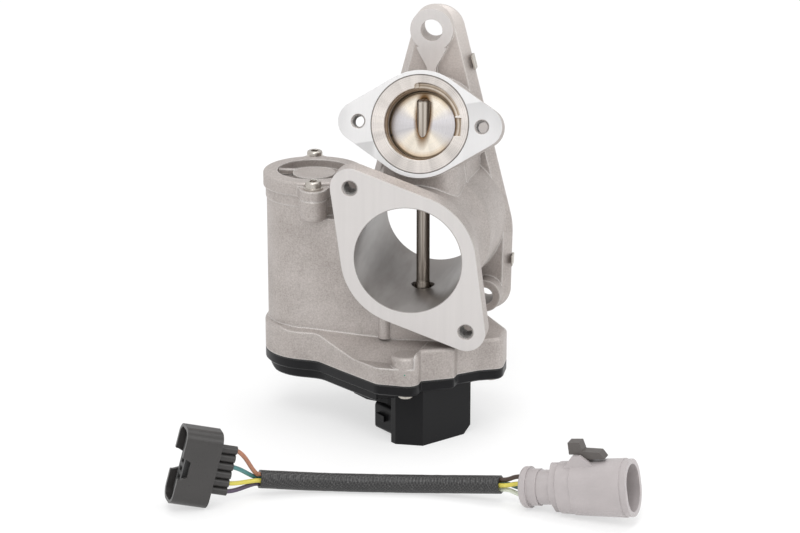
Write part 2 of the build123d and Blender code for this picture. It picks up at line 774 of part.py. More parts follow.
def gear_cover():
    body = Pos(0, 0, rim_low_z) * extrude(case_outline(), rim_depth)
    body = chamfer(body.faces().sort_by(Axis.Z)[0].edges(), 0.8)
    pocket_depth = rim_low_z - cover_low_z
    pocket = Pos(0, 0, cover_low_z) * extrude(pocket_plan(), pocket_depth + 1)
    pocket = chamfer(pocket.faces().sort_by(Axis.Z)[0].edges(), 0.8)
    body += pocket - left_slope(rim_low_z, slope_length, pocket_depth)
    step_plan = make_face(Polyline(
        (-28.4, 14.5), (-21, 7.5), (-10, 3.6), (4, 3.6), (12, 14), (12, 34), (-28.4, 34), (-28.4, 14.5)))
    body += Pos(0, 0, cover_low_z - 5) * extrude(step_plan, 5)
    front_left = (socket_corner[0] - 13.0, socket_corner[1])
    plan = make_face(Polyline(
        socket_corner, socket_point(socket_block_width, 0),
        socket_point(socket_block_width, socket_block_depth),
        socket_point(-8.7, socket_block_depth), front_left, socket_corner))
    block = Pos(0, 0, socket_bottom_z) * extrude(plan, rim_low_z - socket_bottom_z + 0.5)
    far_edge = block.faces().sort_by(Axis.Z)[0].edges().sort_by(Axis.X)[-1]
    body += chamfer(far_edge, 4.0)

    cavity = Pos(0, 0, rim_low_z + cover_floor) * extrude(offset(case_outline(), -cover_wall), rim_depth)
    deep = Pos(0, 0, cover_floor_z) * extrude(offset(pocket_plan(), -cover_wall), pocket_depth + 1)
    deep -= left_slope(rim_low_z + cover_wall + 0.8, slope_length, pocket_depth)
    for x, y in cover_screw_places():
        cavity -= disc(screw_boss_r, x, y, cover_floor_z - 1, cover_top_z)
        deep -= disc(screw_recess_r + 1.2, x, y, cover_floor_z - 1, cover_top_z)
    cavity += deep
    cavity -= disc(pin_r + 2, wheel_x, shaft_y, cover_floor_z - 1, step_low_z - 0.5)
    body -= cavity
    for x, y in (screw_rear, screw_mid, screw_left):
        body -= disc(screw_recess_r, x, y, cover_low_z - 1, rim_low_z)

    end = socket_block_depth + shroud_reach
    stop = shroud_start + shroud_width
    shroud = socket_block(shroud_start, stop, socket_block_depth - 1, end, shroud_low_z, shroud_high_z)
    shroud = fillet(shroud.edges().filter_by(Axis((0, 0, 0), (*socket_out, 0))), 2.0)
    body += shroud
    body -= socket_block(shroud_start + shroud_wall, stop - shroud_wall, socket_block_depth, end + 1,
                         shroud_low_z + shroud_wall, shroud_high_z - shroud_wall)
    ramp = socket_block(shroud_start - 1.8, shroud_start + 0.2, end - 9, end - 3, -82.5, -79.5)
    body += ramp
    body -= blades(seat_gap)
    for x, y in cover_screw_places():
        body -= disc(screw_m4_r + 0.2, x, y, -120, cover_top_z + 1)
    body -= disc(pin_r + seat_gap, wheel_x, shaft_y, pin_low_z, 0)
    return body


def blades(gap=0.0):
    group = None
    middle_z = (shroud_low_z + shroud_high_z) / 2
    for index in range(ways):
        along = shroud_start + shroud_width / 2 + (index - (ways - 1) / 2) * blade_pitch
        half_w, half_t = blade_width / 2 + gap, blade_thick / 2 + gap
        blade = socket_block(along - half_w, along + half_w, socket_block_depth - 4 - gap,
                             socket_block_depth + 10, middle_z - half_t, middle_z + half_t)
        group = blade if group is None else group + blade
    return group


def cover_gasket():
    plan = case_outline()
    inner = offset(plan, -cover_wall)
    for x, y in cover_screw_places():
        inner -= Pos(x, y) * Circle(screw_boss_r)
    plan -= inner
    for x, y in cover_screw_places():
        plan -= Pos(x, y) * Circle(screw_m4_r + 0.3)
    return Pos(0, 0, cover_top_z) * extrude(plan, gasket_thick)


def cover_screws():
    group = []
    for x, y in cover_screw_places():
        body = disc(screw_m4_r - seat_gap, x, y, rim_low_z - 0.5, rim_low_z + screw_length)
        head = disc(screw_head_r, x, y, rim_low_z - 2.4, rim_low_z)
        head = fillet(head.edges().group_by(Axis.Z)[0], 0.8)
        group.append(body + head - Pos(x, y, rim_low_z - 3) * extrude(RegularPolygon(1.8, 6), 1.8))
    return Compound(children=group)


def sensor_board():
    middle_x = board_left + board_width / 2
    middle_y = board_front_y + board_depth / 2
    board = Box(board_width, board_depth, board_thick)
    board = Pos(middle_x, middle_y, cover_floor_z + board_thick / 2) * board
    chip = Pos(0, shaft_y, cover_floor_z + board_thick + 0.4) * Box(5, 5, 0.8)
    return board + chip


def sensor_magnet():
    return disc(4.0, 0, shaft_y, hub_low_z - 2.0, hub_low_z)


def lead_frame():
    group = []
    z = cover_floor_z + frame_thick / 2
    for y_start, y_run in ((shaft_y - contact_side, 34.0), (shaft_y + contact_side, 47.5)):
        low, high = sorted((y_start, y_run))
        bend_x = contact_x + 3.5
        strip = Pos(contact_x + 1.4, y_start, z) * Box(4.2, 3, frame_thick)
        strip += Pos(bend_x, (low + high) / 2, z) * Box(1.6, high - low + 1.6, frame_thick)
        strip += Pos((bend_x + board_left) / 2, y_run, z) * Box(board_left - bend_x, 1.6, frame_thick)
        group.append(strip)
    return Compound(children=group)


# Gasket behind the rear plate

def plate_edge(z):
    """Right edge of the rear plate at height z, with the angle at which it leans."""
    upper = z > plate_belly_z
    end = (plate_top_x, plate_top_z, plate_top_r) if upper else (plate_foot_x, plate_foot_z, plate_foot_r)
    dx, dz, drop = end[0], end[1] - plate_belly_z, plate_belly_r - end[2]
    between = math.acos(drop / math.hypot(dx, dz))
    normal = math.atan2(dz, dx) + (-between if upper else between)
    x = (plate_belly_r - (z - plate_belly_z) * math.sin(normal)) / math.cos(normal)
    return x, math.degrees(normal)


def rear_gasket():
    plan = hull_face([
        (plate_top_x, plate_top_z, plate_top_r - gasket_inset),
        (0, plate_belly_z, plate_belly_r - gasket_inset),
        (plate_foot_x, plate_foot_z, plate_foot_r - gasket_inset),
        (-plate_foot_x, plate_foot_z, plate_foot_r - gasket_inset),
    ])
    body = extrude(facing_front(duct_length + rear_gasket_thick) * plan, rear_gasket_thick)
    body -= bar_y(duct_bore / 2 + 0.6, 0, 0, duct_length - 1, duct_length + 3)
    body -= bar_y(eye_hole_r + 0.3, eye_x, eye_z, duct_length - 1, duct_length + 3)
    for side in (-1, 1):
        body -= bar_y(foot_hole_r + 0.3, side * foot_hole_x, plate_foot_z, duct_length - 1, duct_length + 3)
    for z, width in ((tab_high_z, tab_high_width), (tab_low_z, tab_low_width)):
        x, lean = plate_edge(z)
        length = tab_reach + rear_gasket_thick
        strap = Pos(0.3 + tab_sheet / 2, duct_length + rear_gasket_thick - length / 2, 0)
        strap = strap * Box(tab_sheet, length, width)
        foot_width = 3.0 + gasket_inset
        foot = Pos(1.0 - foot_width / 2, duct_length + rear_gasket_thick / 2, 0)
        foot = foot * Box(foot_width, rear_gasket_thick, width)
        body += Pos(x, 0, z) * Rot(0, -lean, 0) * (strap + foot)
    return body


save(main_housing(), "main_housing")
save(seat_ring(), "seat_ring")
save(flap_disc(), "flap_disc")
save(piston_ring(), "piston_ring")
save(valve_shaft(), "valve_shaft")
save(guide_bush(), "guide_bush")
save(shaft_seal(), "shaft_seal")
save(shaft_bearing(), "shaft_bearing")
save(return_spring(), "return_spring")
save(sector_gear(), "sector_gear")
save(sensor_magnet(), "sensor_magnet")
save(intermediate_gear(), "intermediate_gear")
save(intermediate_pin(), "intermediate_pin")
save(motor_pinion(), "motor_pinion")
save(rotor_shaft(), "rotor_shaft")
save(motor_can(), "motor_can")
save(motor_screws(), "motor_screws")
save(motor_contacts(), "motor_contacts")
save(motor_cap(), "motor_cap")
save(cap_seal(), "cap_seal")
save(wave_washer(), "wave_washer")
save(cap_screws(), "cap_screws")
save(gear_cover(), "gear_cover")
save(blades(), "connector_pins")
save(cover_gasket(), "cover_gasket")
save(cover_screws(), "cover_screws")
save(sensor_board(), "sensor_board")
save(lead_frame(), "lead_frame")
save(rear_gasket(), "rear_gasket")


# Adapter lead: a socket for the valve, four wires in a sleeve, a plug for the vehicle

socket_corner_spot = (-72.4, -95.2, floor_z)
socket_yaw = 208.0
socket_pitch = 15.5
socket_deep = 16.6
socket_tall = 35.6
socket_thick = 15.0
socket_wall = 1.5
tube_count = 6
tube_pitch = 3.9
tube_outer_r = 1.9
tube_length = 9.0
wire_r = wire_d / 2
plug_spot = (63.8, -63.3, -80.85)
plug_yaw = -12.0
plug_pitch = 8.7
plug_length = 50.6
plug_side_r = 11.0
plug_rise = 2.2
plug_pocket_x = 30.0
clip_width = 5.5
sleeve_points = [
    (-53.7, -73.0, -82.0),
    (-33.0, -63.5, -85.6),
    (-4.0, -59.8, -85.7),
    (24.5, -55.9, -85.6),
    (53.1, -61.0, -81.5),
]
wire_spread = [(0.0, 2.3), (-1.5, 0.2), (1.5, -0.2), (0.0, -2.3)]
wire_names = ["brown", "teal", "yellow", "violet"]
far_wire_names = ["dark_brown", "yellow", "green", "white"]
socket_rows = [5, 3, 1, 0]
plug_holes = [(-1.0, 5.4), (-1.2, 2.1), (1.2, -1.2), (1.0, -4.4)]


def heading(yaw, pitch):
    """Unit vector from a turn about Z and a rise above the level."""
    turn, rise = math.radians(yaw), math.radians(pitch)
    return Vector(math.cos(turn) * math.cos(rise), math.sin(turn) * math.cos(rise), math.sin(rise))


def upward(direction):
    return (Vector(0, 0, 1) - direction * direction.Z).normalized()


socket_dir = heading(socket_yaw, socket_pitch)
socket_up = upward(socket_dir)
socket_back = socket_dir.cross(socket_up)
socket_plane = Plane(origin=socket_corner_spot, x_dir=socket_dir, z_dir=socket_back)
plug_dir = heading(plug_yaw, plug_pitch)
plug_up = upward(plug_dir)
plug_plane = Plane(origin=plug_spot, x_dir=plug_dir, z_dir=plug_up)


def route(points):
    """Straight runs joined by tangent arcs, each as wide as its two runs allow."""
    spots = [Vector(*point) for point in points]
    radii = []
    for before, here, after in zip(spots, spots[1:], spots[2:]):
        half_turn = math.radians((here - before).get_angle(after - here)) / 2
        shorter = min((here - before).length, (after - here).length)
        radii.append(0.45 * shorter / math.tan(half_turn))
    return FilletPolyline(*spots, radius=radii), radii


def tube_along(points, diameter, name):
    path, radii = route(points)
    start = Plane(origin=path @ 0, z_dir=path % 0)
    body = sweep(start * Circle(diameter / 2), path=path)
    ideal = math.pi * diameter ** 2 / 4 * path.length
    print(name, "radii", [round(radius, 1) for radius in radii],
          "length", round(path.length, 2), "volume share", round(body.volume / ideal, 4))
    return body


def row_y(row):
    return socket_tall / 2 + (row - (tube_count - 1) / 2) * tube_pitch


def lead_socket_housing():
    middle = Pos(socket_tall / 2, socket_thick / 2)
    shell = across_x(middle * RectangleRounded(socket_tall, socket_thick, 5.5), 0, socket_deep)
    inner = RectangleRounded(socket_tall - 2 * socket_wall, socket_thick - 2 * socket_wall, 4.0)
    shell -= across_x(middle * inner, 4.0, socket_deep + 1)
    window = make_face(Polyline(
        (socket_deep + 1, 12.6), (socket_deep - 1.2, 12.9), (socket_deep - 4.2, 14.2),
        (socket_deep - 4.2, 21.4), (socket_deep - 1.2, 22.7), (socket_deep + 1, 23.0),
        (socket_deep + 1, 12.6)))
    shell -= Pos(0, 0, -1) * extrude(window, socket_thick + 2)
    for row in range(tube_count):
        spot = Pos(row_y(row), socket_thick / 2)
        shell += across_x(spot * Circle(tube_outer_r), -tube_length, 1)
    base = across_x(middle * RectangleRounded(tube_count * tube_pitch + 1.6, 5.4, 1.2), -1.4, 1)
    shell += base
    for row in range(tube_count):
        spot = Pos(row_y(row), socket_thick / 2)
        shell -= across_x(spot * Circle(wire_r + 0.02), -tube_length - 1, -2.5)
    return socket_plane * shell


def lead_socket_insert():
    middle = Pos(socket_tall / 2, socket_thick / 2)
    block = across_x(middle * RectangleRounded(27.0, 7.6, 2.0), 4.0, 14.0)
    for row in range(tube_count):
        block -= across_x(Pos(row_y(row), socket_thick / 2) * Rectangle(2.2, 3.4), 6.0, 15)
    return socket_plane * block


def lead_socket_terminals():
    group = []
    for row in range(tube_count):
        spring = across_x(Pos(row_y(row), socket_thick / 2) * Rectangle(1.8, 3.0), 6.0, 12.5)
        spring -= across_x(Pos(row_y(row), socket_thick / 2) * Rectangle(1.0, 2.0), 8.0, 13)
        group.append(socket_plane * spring)
    return Compound(children=group)


def plug_oval(inset=0.0):
    return hull_face([(0, plug_rise, plug_side_r - inset), (0, -plug_rise, plug_side_r - inset)])


def plug_section(x, inset):
    return Plane(origin=(x, 0, 0), x_dir=(0, 1, 0), z_dir=(1, 0, 0)) * plug_oval(inset)


def lead_plug_housing():
    neck = across_x(Circle(7.7), 8.0, 15)
    collar = across_x(hull_face([(0, 0, 8.5), (0, 8.0, 3.4), (0, -8.0, 3.4)]), 14.2, 17.4)
    body = loft([plug_section(17.4, 1.6), plug_section(plug_length, 0.4)])
    body += loft([plug_section(24.5, 0.9), plug_section(plug_length - 3, 0.1)])
    body = fillet(body.faces().sort_by(Axis.X)[0].edges(), 0.8)
    side = Plane.XZ * make_face(Polyline(
        (20.0, 9.0), (26.0, 16.2), (29.4, 16.2), (35.0, 11.5), (35.0, 9.0), (20.0, 9.0)))
    lug = Pos(0, -clip_width / 2 - 0.2, 0) * extrude(side, 2.0)
    lug_pair = lug + Pos(0, clip_width + 2.4, 0) * lug
    whole = neck + collar + body + lug_pair
    whole -= across_x(plug_oval(2.6), plug_pocket_x, plug_length + 1)
    for y, z in plug_holes:
        whole -= across_x(Pos(y, z) * Circle(wire_r + 0.02), 7, 10)
    return plug_plane * whole


def lead_plug_cap():
    cap = across_x(Circle(9.25), 0, 3.4) + across_x(Circle(8.2), 3.4, 8.0)
    cap = fillet(cap.faces().sort_by(Axis.X)[0].edges(), 1.5)
    for y, z in plug_holes:
        cap -= across_x(Pos(y, z) * Circle(wire_r + 0.02), -1, 9)
    return plug_plane * cap


def lead_plug_clip():
    plan = make_face(Polyline(
        (24.0, 16.2), (24.0, 21.6), (29.4, 21.6), (30.4, 17.5), (38.0, 17.0), (40.0, 14.0),
        (30.5, 14.0), (28.0, 16.2), (24.0, 16.2)))
    side = Plane.XZ * plan
    return plug_plane * Pos(0, clip_width / 2, 0) * extrude(side, clip_width)


def lead_plug_pins():
    group = []
    for y in (-5.0, 0.0, 5.0):
        for z in (-3.2, 3.2):
            group.append(plug_plane * across_x(Pos(y, z) * Rectangle(0.8, 1.6), plug_pocket_x, 40.0))
    return Compound(children=group)


def sleeve_frame(end):
    """Across the sleeve's end: sideways and up vectors."""
    here, beside = (0, 1) if end == "near" else (-1, -2)
    out = (Vector(*sleeve_points[here]) - Vector(*sleeve_points[beside])).normalized()
    up = upward(out)
    return Vector(*sleeve_points[here]), out, up.cross(out), up


def near_wire(index):
    centre, out, side, up = sleeve_frame("near")
    a, b = wire_spread[index]
    start = centre + side * a + up * b
    local = Vector(-tube_length + 1.0, row_y(socket_rows[index]), socket_thick / 2)
    end = socket_plane.from_local_coords(local)
    lead_in = 2.2
    return [start, start + out * lead_in, end - socket_dir * (lead_in + 1.0), end]


def far_wire(index):
    centre, out, side, up = sleeve_frame("far")
    a, b = wire_spread[index]
    start = centre + side * a + up * b
    y, z = plug_holes[index]
    end = plug_plane.from_local_coords(Vector(2.0, y, z))
    return [start, start + out * 3.4, end - plug_dir * 4.6, end]


save(lead_socket_housing(), "lead_socket_housing")
save(lead_socket_insert(), "lead_socket_insert")
save(lead_socket_terminals(), "lead_socket_terminals")
save(tube_along(sleeve_points, sleeve_d, "sleeve"), "lead_sleeve")
for index, colour in enumerate(wire_names):
    save(tube_along(near_wire(index), wire_d, colour), f"socket_wire_{colour}")
for index, colour in enumerate(far_wire_names):
    save(tube_along(far_wire(index), wire_d, colour), f"plug_wire_{colour}")
save(lead_plug_cap(), "lead_plug_cap")
save(lead_plug_housing(), "lead_plug_housing")
save(lead_plug_clip(), "lead_plug_clip")
save(lead_plug_pins(), "lead_plug_pins")
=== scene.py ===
# Exhaust recirculation valve with its adapter lead: finishes, screws, threads, lead and studio.
import math

import bmesh
import bpy
from mathutils import Matrix, Vector


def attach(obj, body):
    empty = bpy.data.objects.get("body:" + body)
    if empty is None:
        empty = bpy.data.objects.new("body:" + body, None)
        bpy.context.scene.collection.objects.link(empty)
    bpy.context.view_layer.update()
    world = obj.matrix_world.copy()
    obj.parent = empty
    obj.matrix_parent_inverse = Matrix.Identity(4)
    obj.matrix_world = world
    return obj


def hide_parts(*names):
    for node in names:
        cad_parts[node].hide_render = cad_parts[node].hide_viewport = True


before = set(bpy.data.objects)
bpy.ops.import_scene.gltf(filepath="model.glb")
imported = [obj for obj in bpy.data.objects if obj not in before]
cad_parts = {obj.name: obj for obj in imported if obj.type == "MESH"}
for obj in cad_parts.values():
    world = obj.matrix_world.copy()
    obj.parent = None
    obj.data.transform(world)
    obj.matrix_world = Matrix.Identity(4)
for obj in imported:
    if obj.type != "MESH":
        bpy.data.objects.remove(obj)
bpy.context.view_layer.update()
mm = 0.001
print("frame loaded:", len(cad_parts), "nodes")

# the upright shaft, and the port that leans back by the same angle as the flap
shaftPoint = Vector((0, 40.5, 0)) * mm
port = {
    "tilt": math.radians(18.0),
    "flapCentre": Vector((0, 40.5, 53.4)) * mm,
    "faceDepth": 10.6 * mm,
}
portNormal = Vector((0, -math.cos(port["tilt"]), math.sin(port["tilt"])))
portFace = port["flapCentre"] + portNormal * port["faceDepth"]
floorHeight = -90.0 * mm


# small helpers for node trees

def feed(tree, source, target):
    if isinstance(source, bpy.types.NodeSocket):
        tree.links.new(source, target)
    else:
        target.default_value = source


def addNode(tree, kind, inputs=None, **settings):
    node = tree.nodes.new(kind)
    for name, value in settings.items():
        setattr(node, name, value)
    for name, value in (inputs or {}).items():
        feed(tree, value, node.inputs[name])
    return node


def doMath(tree, operation, first, second=0.0, clamp=False):
    node = addNode(tree, "ShaderNodeMath", operation=operation, use_clamp=clamp)
    feed(tree, first, node.inputs[0])
    feed(tree, second, node.inputs[1])
    return node.outputs[0]


def doVector(tree, operation, first, second=(0, 0, 0)):
    node = addNode(tree, "ShaderNodeVectorMath", operation=operation)
    feed(tree, first, node.inputs[0])
    feed(tree, second, node.inputs[1])
    return node.outputs["Value"] if operation in ("DOT_PRODUCT", "LENGTH") else node.outputs["Vector"]


def mixColour(tree, factor, first, second, blend="MIX"):
    node = addNode(tree, "ShaderNodeMix", data_type="RGBA", blend_type=blend)
    feed(tree, factor, node.inputs[0])
    feed(tree, first, node.inputs[6])
    feed(tree, second, node.inputs[7])
    return node.outputs[2]


def mixValue(tree, factor, first, second):
    node = addNode(tree, "ShaderNodeMix", data_type="FLOAT")
    feed(tree, factor, node.inputs[0])
    feed(tree, first, node.inputs[2])
    feed(tree, second, node.inputs[3])
    return node.outputs[0]


def mixVector(tree, factor, first, second):
    node = addNode(tree, "ShaderNodeMix", data_type="VECTOR")
    feed(tree, factor, node.inputs[0])
    feed(tree, first, node.inputs[4])
    feed(tree, second, node.inputs[5])
    return node.outputs[1]


def spread(tree, value, low, high, start=0.0, end=1.0):
    node = addNode(tree, "ShaderNodeMapRange", {"Value": value, "From Min": low, "From Max": high,
                                                "To Min": start, "To Max": end})
    return node.outputs["Result"]


def noise(tree, coordinate, scale, detail=3.0, roughness=0.5):
    node = addNode(tree, "ShaderNodeTexNoise", {"Vector": coordinate, "Scale": scale, "Detail": detail,
                                                "Roughness": roughness})
    return node.outputs["Fac"]


def objectPlace(tree):
    return addNode(tree, "ShaderNodeTexCoord").outputs["Object"]


def partOf(tree, vector, letter):
    return addNode(tree, "ShaderNodeSeparateXYZ", {"Vector": vector}).outputs[letter]


def greyTone(tree, level):
    node = addNode(tree, "ShaderNodeCombineColor", {"Red": level, "Green": level, "Blue": level})
    return node.outputs["Color"]


def bumpNormal(tree, height, distance, normal):
    node = addNode(tree, "ShaderNodeBump", {"Height": height, "Distance": distance, "Strength": 1.0,
                                            "Normal": normal})
    return node.outputs["Normal"]


def splitByAxis(tree, offset, axis):
    # how far an offset runs along an axis, and what is left of it
    along = doVector(tree, "DOT_PRODUCT", offset, axis)
    scaled = addNode(tree, "ShaderNodeVectorMath", operation="SCALE")
    feed(tree, axis, scaled.inputs[0])
    feed(tree, along, scaled.inputs["Scale"])
    return along, doVector(tree, "SUBTRACT", offset, scaled.outputs["Vector"])


def colour(red, green, blue):
    channels = [value / 255 for value in (red, green, blue)]
    linear = [value / 12.92 if value <= 0.04045 else ((value + 0.055) / 1.055) ** 2.4 for value in channels]
    return (*linear, 1.0)


def openGroup(name, inputs, outputs):
    tree = bpy.data.node_groups.new(name, "ShaderNodeTree")
    for label, kind, value in inputs:
        socket = tree.interface.new_socket(name=label, in_out="INPUT", socket_type=kind)
        socket.default_value = value
    for label, kind in outputs:
        tree.interface.new_socket(name=label, in_out="OUTPUT", socket_type=kind)
    return tree, tree.nodes.new("NodeGroupInput").outputs, tree.nodes.new("NodeGroupOutput").inputs


def place(tree, group, inputs=None):
    return addNode(tree, "ShaderNodeGroup", inputs, node_tree=group).outputs


# shared effects

def softEdgeGroup():
    # rounds sharp edges in the light, and gives a mask of them, used for wear and for painted edge
    # highlights
    tree, given, out = openGroup(
        "softEdge",
        [("Radius", "NodeSocketFloat", 0.0005), ("Spread", "NodeSocketFloat", 6.0)],
        [("Normal", "NodeSocketVector"), ("Edge", "NodeSocketFloat")])
    bevel = addNode(tree, "ShaderNodeBevel", {"Radius": given["Radius"]}, samples=4)
    face = addNode(tree, "ShaderNodeNewGeometry").outputs["Normal"]
    along = doVector(tree, "DOT_PRODUCT", bevel.outputs["Normal"], face)
    edge = doMath(tree, "MULTIPLY", doMath(tree, "SUBTRACT", 1.0, along), given["Spread"], clamp=True)
    tree.links.new(bevel.outputs["Normal"], out["Normal"])
    tree.links.new(edge, out["Edge"])
    return tree


sand = {
    "grainShare": 0.65, "cloudShare": 0.55, "toneSpan": (0.38, 0.82), "grainSpan": (0.25, 0.75),
    "roughSpan": (0.62, 0.42), "cloudHeight": 1.2,
}


def sandGrainGroup():
    # fine sand-cast skin: small pits, cloudy tone and a bump
    tree, given, out = openGroup(
        "sandGrain",
        [("Light", "NodeSocketColor", (0.5, 0.5, 0.5, 1)), ("Dark", "NodeSocketColor", (0.3, 0.3, 0.3, 1)),
         ("Grain Scale", "NodeSocketFloat", 1400.0), ("Cloud Scale", "NodeSocketFloat", 45.0),
         ("Bump Depth", "NodeSocketFloat", 0.00006), ("Normal", "NodeSocketVector", (0, 0, 1))],
        [("Color", "NodeSocketColor"), ("Roughness", "NodeSocketFloat"), ("Normal", "NodeSocketVector")])
    where = objectPlace(tree)
    grain = noise(tree, where, given["Grain Scale"], 2.0, 0.6)
    cloud = noise(tree, where, given["Cloud Scale"], 4.0, 0.6)
    tone = doMath(tree, "ADD", doMath(tree, "MULTIPLY", grain, sand["grainShare"]),
                  doMath(tree, "MULTIPLY", cloud, sand["cloudShare"]))
    tone = spread(tree, tone, *sand["toneSpan"])
    tree.links.new(mixColour(tree, tone, given["Dark"], given["Light"]), out["Color"])
    tree.links.new(spread(tree, grain, *sand["grainSpan"], *sand["roughSpan"]), out["Roughness"])
    height = doMath(tree, "ADD", grain, doMath(tree, "MULTIPLY", cloud, sand["cloudHeight"]))
    tree.links.new(bumpNormal(tree, height, given["Bump Depth"], given["Normal"]), out["Normal"])
    return tree


def cutLinesGroup():
    # parallel marks of a cutter, along the axis with the smallest scale
    tree, given, out = openGroup(
        "cutLines",
        [("Scale", "NodeSocketVector", (1500, 1500, 30)), ("Depth", "NodeSocketFloat", 0.00002),
         ("Normal", "NodeSocketVector", (0, 0, 1))],
        [("Lines", "NodeSocketFloat"), ("Normal", "NodeSocketVector")])
    stretched = doVector(tree, "MULTIPLY", objectPlace(tree), given["Scale"])
    lines = noise(tree, stretched, 1.0, 3.0, 0.6)
    tree.links.new(lines, out["Lines"])
    tree.links.new(bumpNormal(tree, lines, given["Depth"], given["Normal"]), out["Normal"])
    return tree


squareOn = 0.98  # cosine above which a face counts as square to the axis


def faceMaskGroup():
    # white where the surface lies on one machined plane
    tree, given, out = openGroup(
        "faceMask",
        [("Point", "NodeSocketVector", (0, 0, 0)), ("Axis", "NodeSocketVector", (0, -1, 0)),
         ("Depth", "NodeSocketFloat", 0.0002)],
        [("Mask", "NodeSocketFloat")])
    trueNormal = addNode(tree, "ShaderNodeNewGeometry").outputs["True Normal"]
    facing = doVector(tree, "DOT_PRODUCT", trueNormal, given["Axis"])
    offset = doVector(tree, "SUBTRACT", objectPlace(tree), given["Point"])
    level = doVector(tree, "DOT_PRODUCT", offset, given["Axis"])
    near = doMath(tree, "LESS_THAN", doMath(tree, "ABSOLUTE", level), given["Depth"])
    square = doMath(tree, "GREATER_THAN", facing, squareOn)
    tree.links.new(doMath(tree, "MULTIPLY", near, square), out["Mask"])
    return tree


def boreMaskGroup():
    # white on the wall of a bore, with the distance along its axis
    tree, given, out = openGroup(
        "boreMask",
        [("Point", "NodeSocketVector", (0, 0, 0)), ("Axis", "NodeSocketVector", (0, 1, 0)),
         ("Radius", "NodeSocketFloat", 0.025), ("Depth", "NodeSocketFloat", 0.0003)],
        [("Mask", "NodeSocketFloat"), ("Along", "NodeSocketFloat")])
    offset = doVector(tree, "SUBTRACT", objectPlace(tree), given["Point"])
    along, flat = splitByAxis(tree, offset, given["Axis"])
    gap = doMath(tree, "SUBTRACT", doVector(tree, "LENGTH", flat), given["Radius"])
    near = doMath(tree, "LESS_THAN", doMath(tree, "ABSOLUTE", gap), given["Depth"])
    tree.links.new(near, out["Mask"])
    tree.links.new(along, out["Along"])
    return tree


openSpan = (0.25, 0.85)  # from a closed corner to open skin


def cavityGroup():
    # painted shade: darker tone in hollows and inner corners, from the ambient occlusion of the surface
    tree, given, out = openGroup(
        "cavityShade",
        [("Reach", "NodeSocketFloat", 0.009), ("Dark", "NodeSocketFloat", 0.7)],
        [("Shade", "NodeSocketColor")])
    occlusionShade = addNode(tree, "ShaderNodeAmbientOcclusion", {"Distance": given["Reach"]}, samples=6,
                     only_local=True)
    openness = spread(tree, occlusionShade.outputs["AO"], *openSpan)
    tree.links.new(greyTone(tree, mixValue(tree, openness, given["Dark"], 1.0)), out["Shade"])
    return tree


weave = {"yarnSpan": (-0.4, 1.0), "fleckScale": 1500.0, "fleckSpan": (0.52, 0.74)}


def braidGroup():
    # fine braid of two crossing yarns, with pale flecks
    tree, given, out = openGroup(
        "braidWeave",
        [("Pitch", "NodeSocketFloat", 0.0011), ("Depth", "NodeSocketFloat", 0.00012),
         ("Normal", "NodeSocketVector", (0, 0, 1))],
        [("Yarn", "NodeSocketFloat"), ("Flecks", "NodeSocketFloat"), ("Normal", "NodeSocketVector")])
    where = objectPlace(tree)
    parts = addNode(tree, "ShaderNodeSeparateXYZ", {"Vector": where}).outputs
    around = doMath(tree, "SUBTRACT", parts["Z"], parts["Y"])
    turn = doMath(tree, "DIVIDE", 2 * math.pi, given["Pitch"])
    yarns = [doMath(tree, "SINE", doMath(tree, "MULTIPLY", doMath(tree, way, parts["X"], around), turn))
             for way in ("ADD", "SUBTRACT")]
    yarn = spread(tree, doMath(tree, "MAXIMUM", *yarns), *weave["yarnSpan"])
    flecks = spread(tree, noise(tree, where, weave["fleckScale"], 2.0, 0.6), *weave["fleckSpan"])
    tree.links.new(yarn, out["Yarn"])
    tree.links.new(flecks, out["Flecks"])
    tree.links.new(bumpNormal(tree, yarn, given["Depth"], given["Normal"]), out["Normal"])
    return tree


def turnedGroup():
    # lathe rings by radius about an axis, and painted highlight streaks by angle, bright and dark
    tree, given, out = openGroup(
        "turnedRingsAndStreaks",
        [("Point", "NodeSocketVector", (0, 0, 0)), ("Axis", "NodeSocketVector", (0, 1, 0)),
         ("Ring Scale", "NodeSocketFloat", 2600.0), ("Streak Scale", "NodeSocketFloat", 2.2)],
        [("Radius", "NodeSocketFloat"), ("Rings", "NodeSocketFloat"), ("Streaks", "NodeSocketFloat"),
         ("Tangent", "NodeSocketVector")])
    offset = doVector(tree, "SUBTRACT", objectPlace(tree), given["Point"])
    flat = splitByAxis(tree, offset, given["Axis"])[1]
    radius = doVector(tree, "LENGTH", flat)
    direction = doVector(tree, "NORMALIZE", flat)
    ringPlace = addNode(tree, "ShaderNodeCombineXYZ", {"X": radius}).outputs["Vector"]
    tree.links.new(radius, out["Radius"])
    tree.links.new(noise(tree, ringPlace, given["Ring Scale"], 2.0, 0.7), out["Rings"])
    tree.links.new(noise(tree, direction, given["Streak Scale"], 3.0, 0.65), out["Streaks"])
    tree.links.new(doVector(tree, "CROSS_PRODUCT", given["Axis"], direction), out["Tangent"])
    return tree


softEdge = softEdgeGroup()
sandGrain = sandGrainGroup()
cutLines = cutLinesGroup()
faceMask = faceMaskGroup()
boreMask = boreMaskGroup()
cavity = cavityGroup()
braid = braidGroup()
turnedRingsAndStreaks = turnedGroup()
print("effects built")


def newMaterial(name):
    material = bpy.data.materials.new(name)
    material.use_nodes = True
    tree = material.node_tree
    return material, tree, tree.nodes["Principled BSDF"].inputs


# aluminium casting with its machined faces

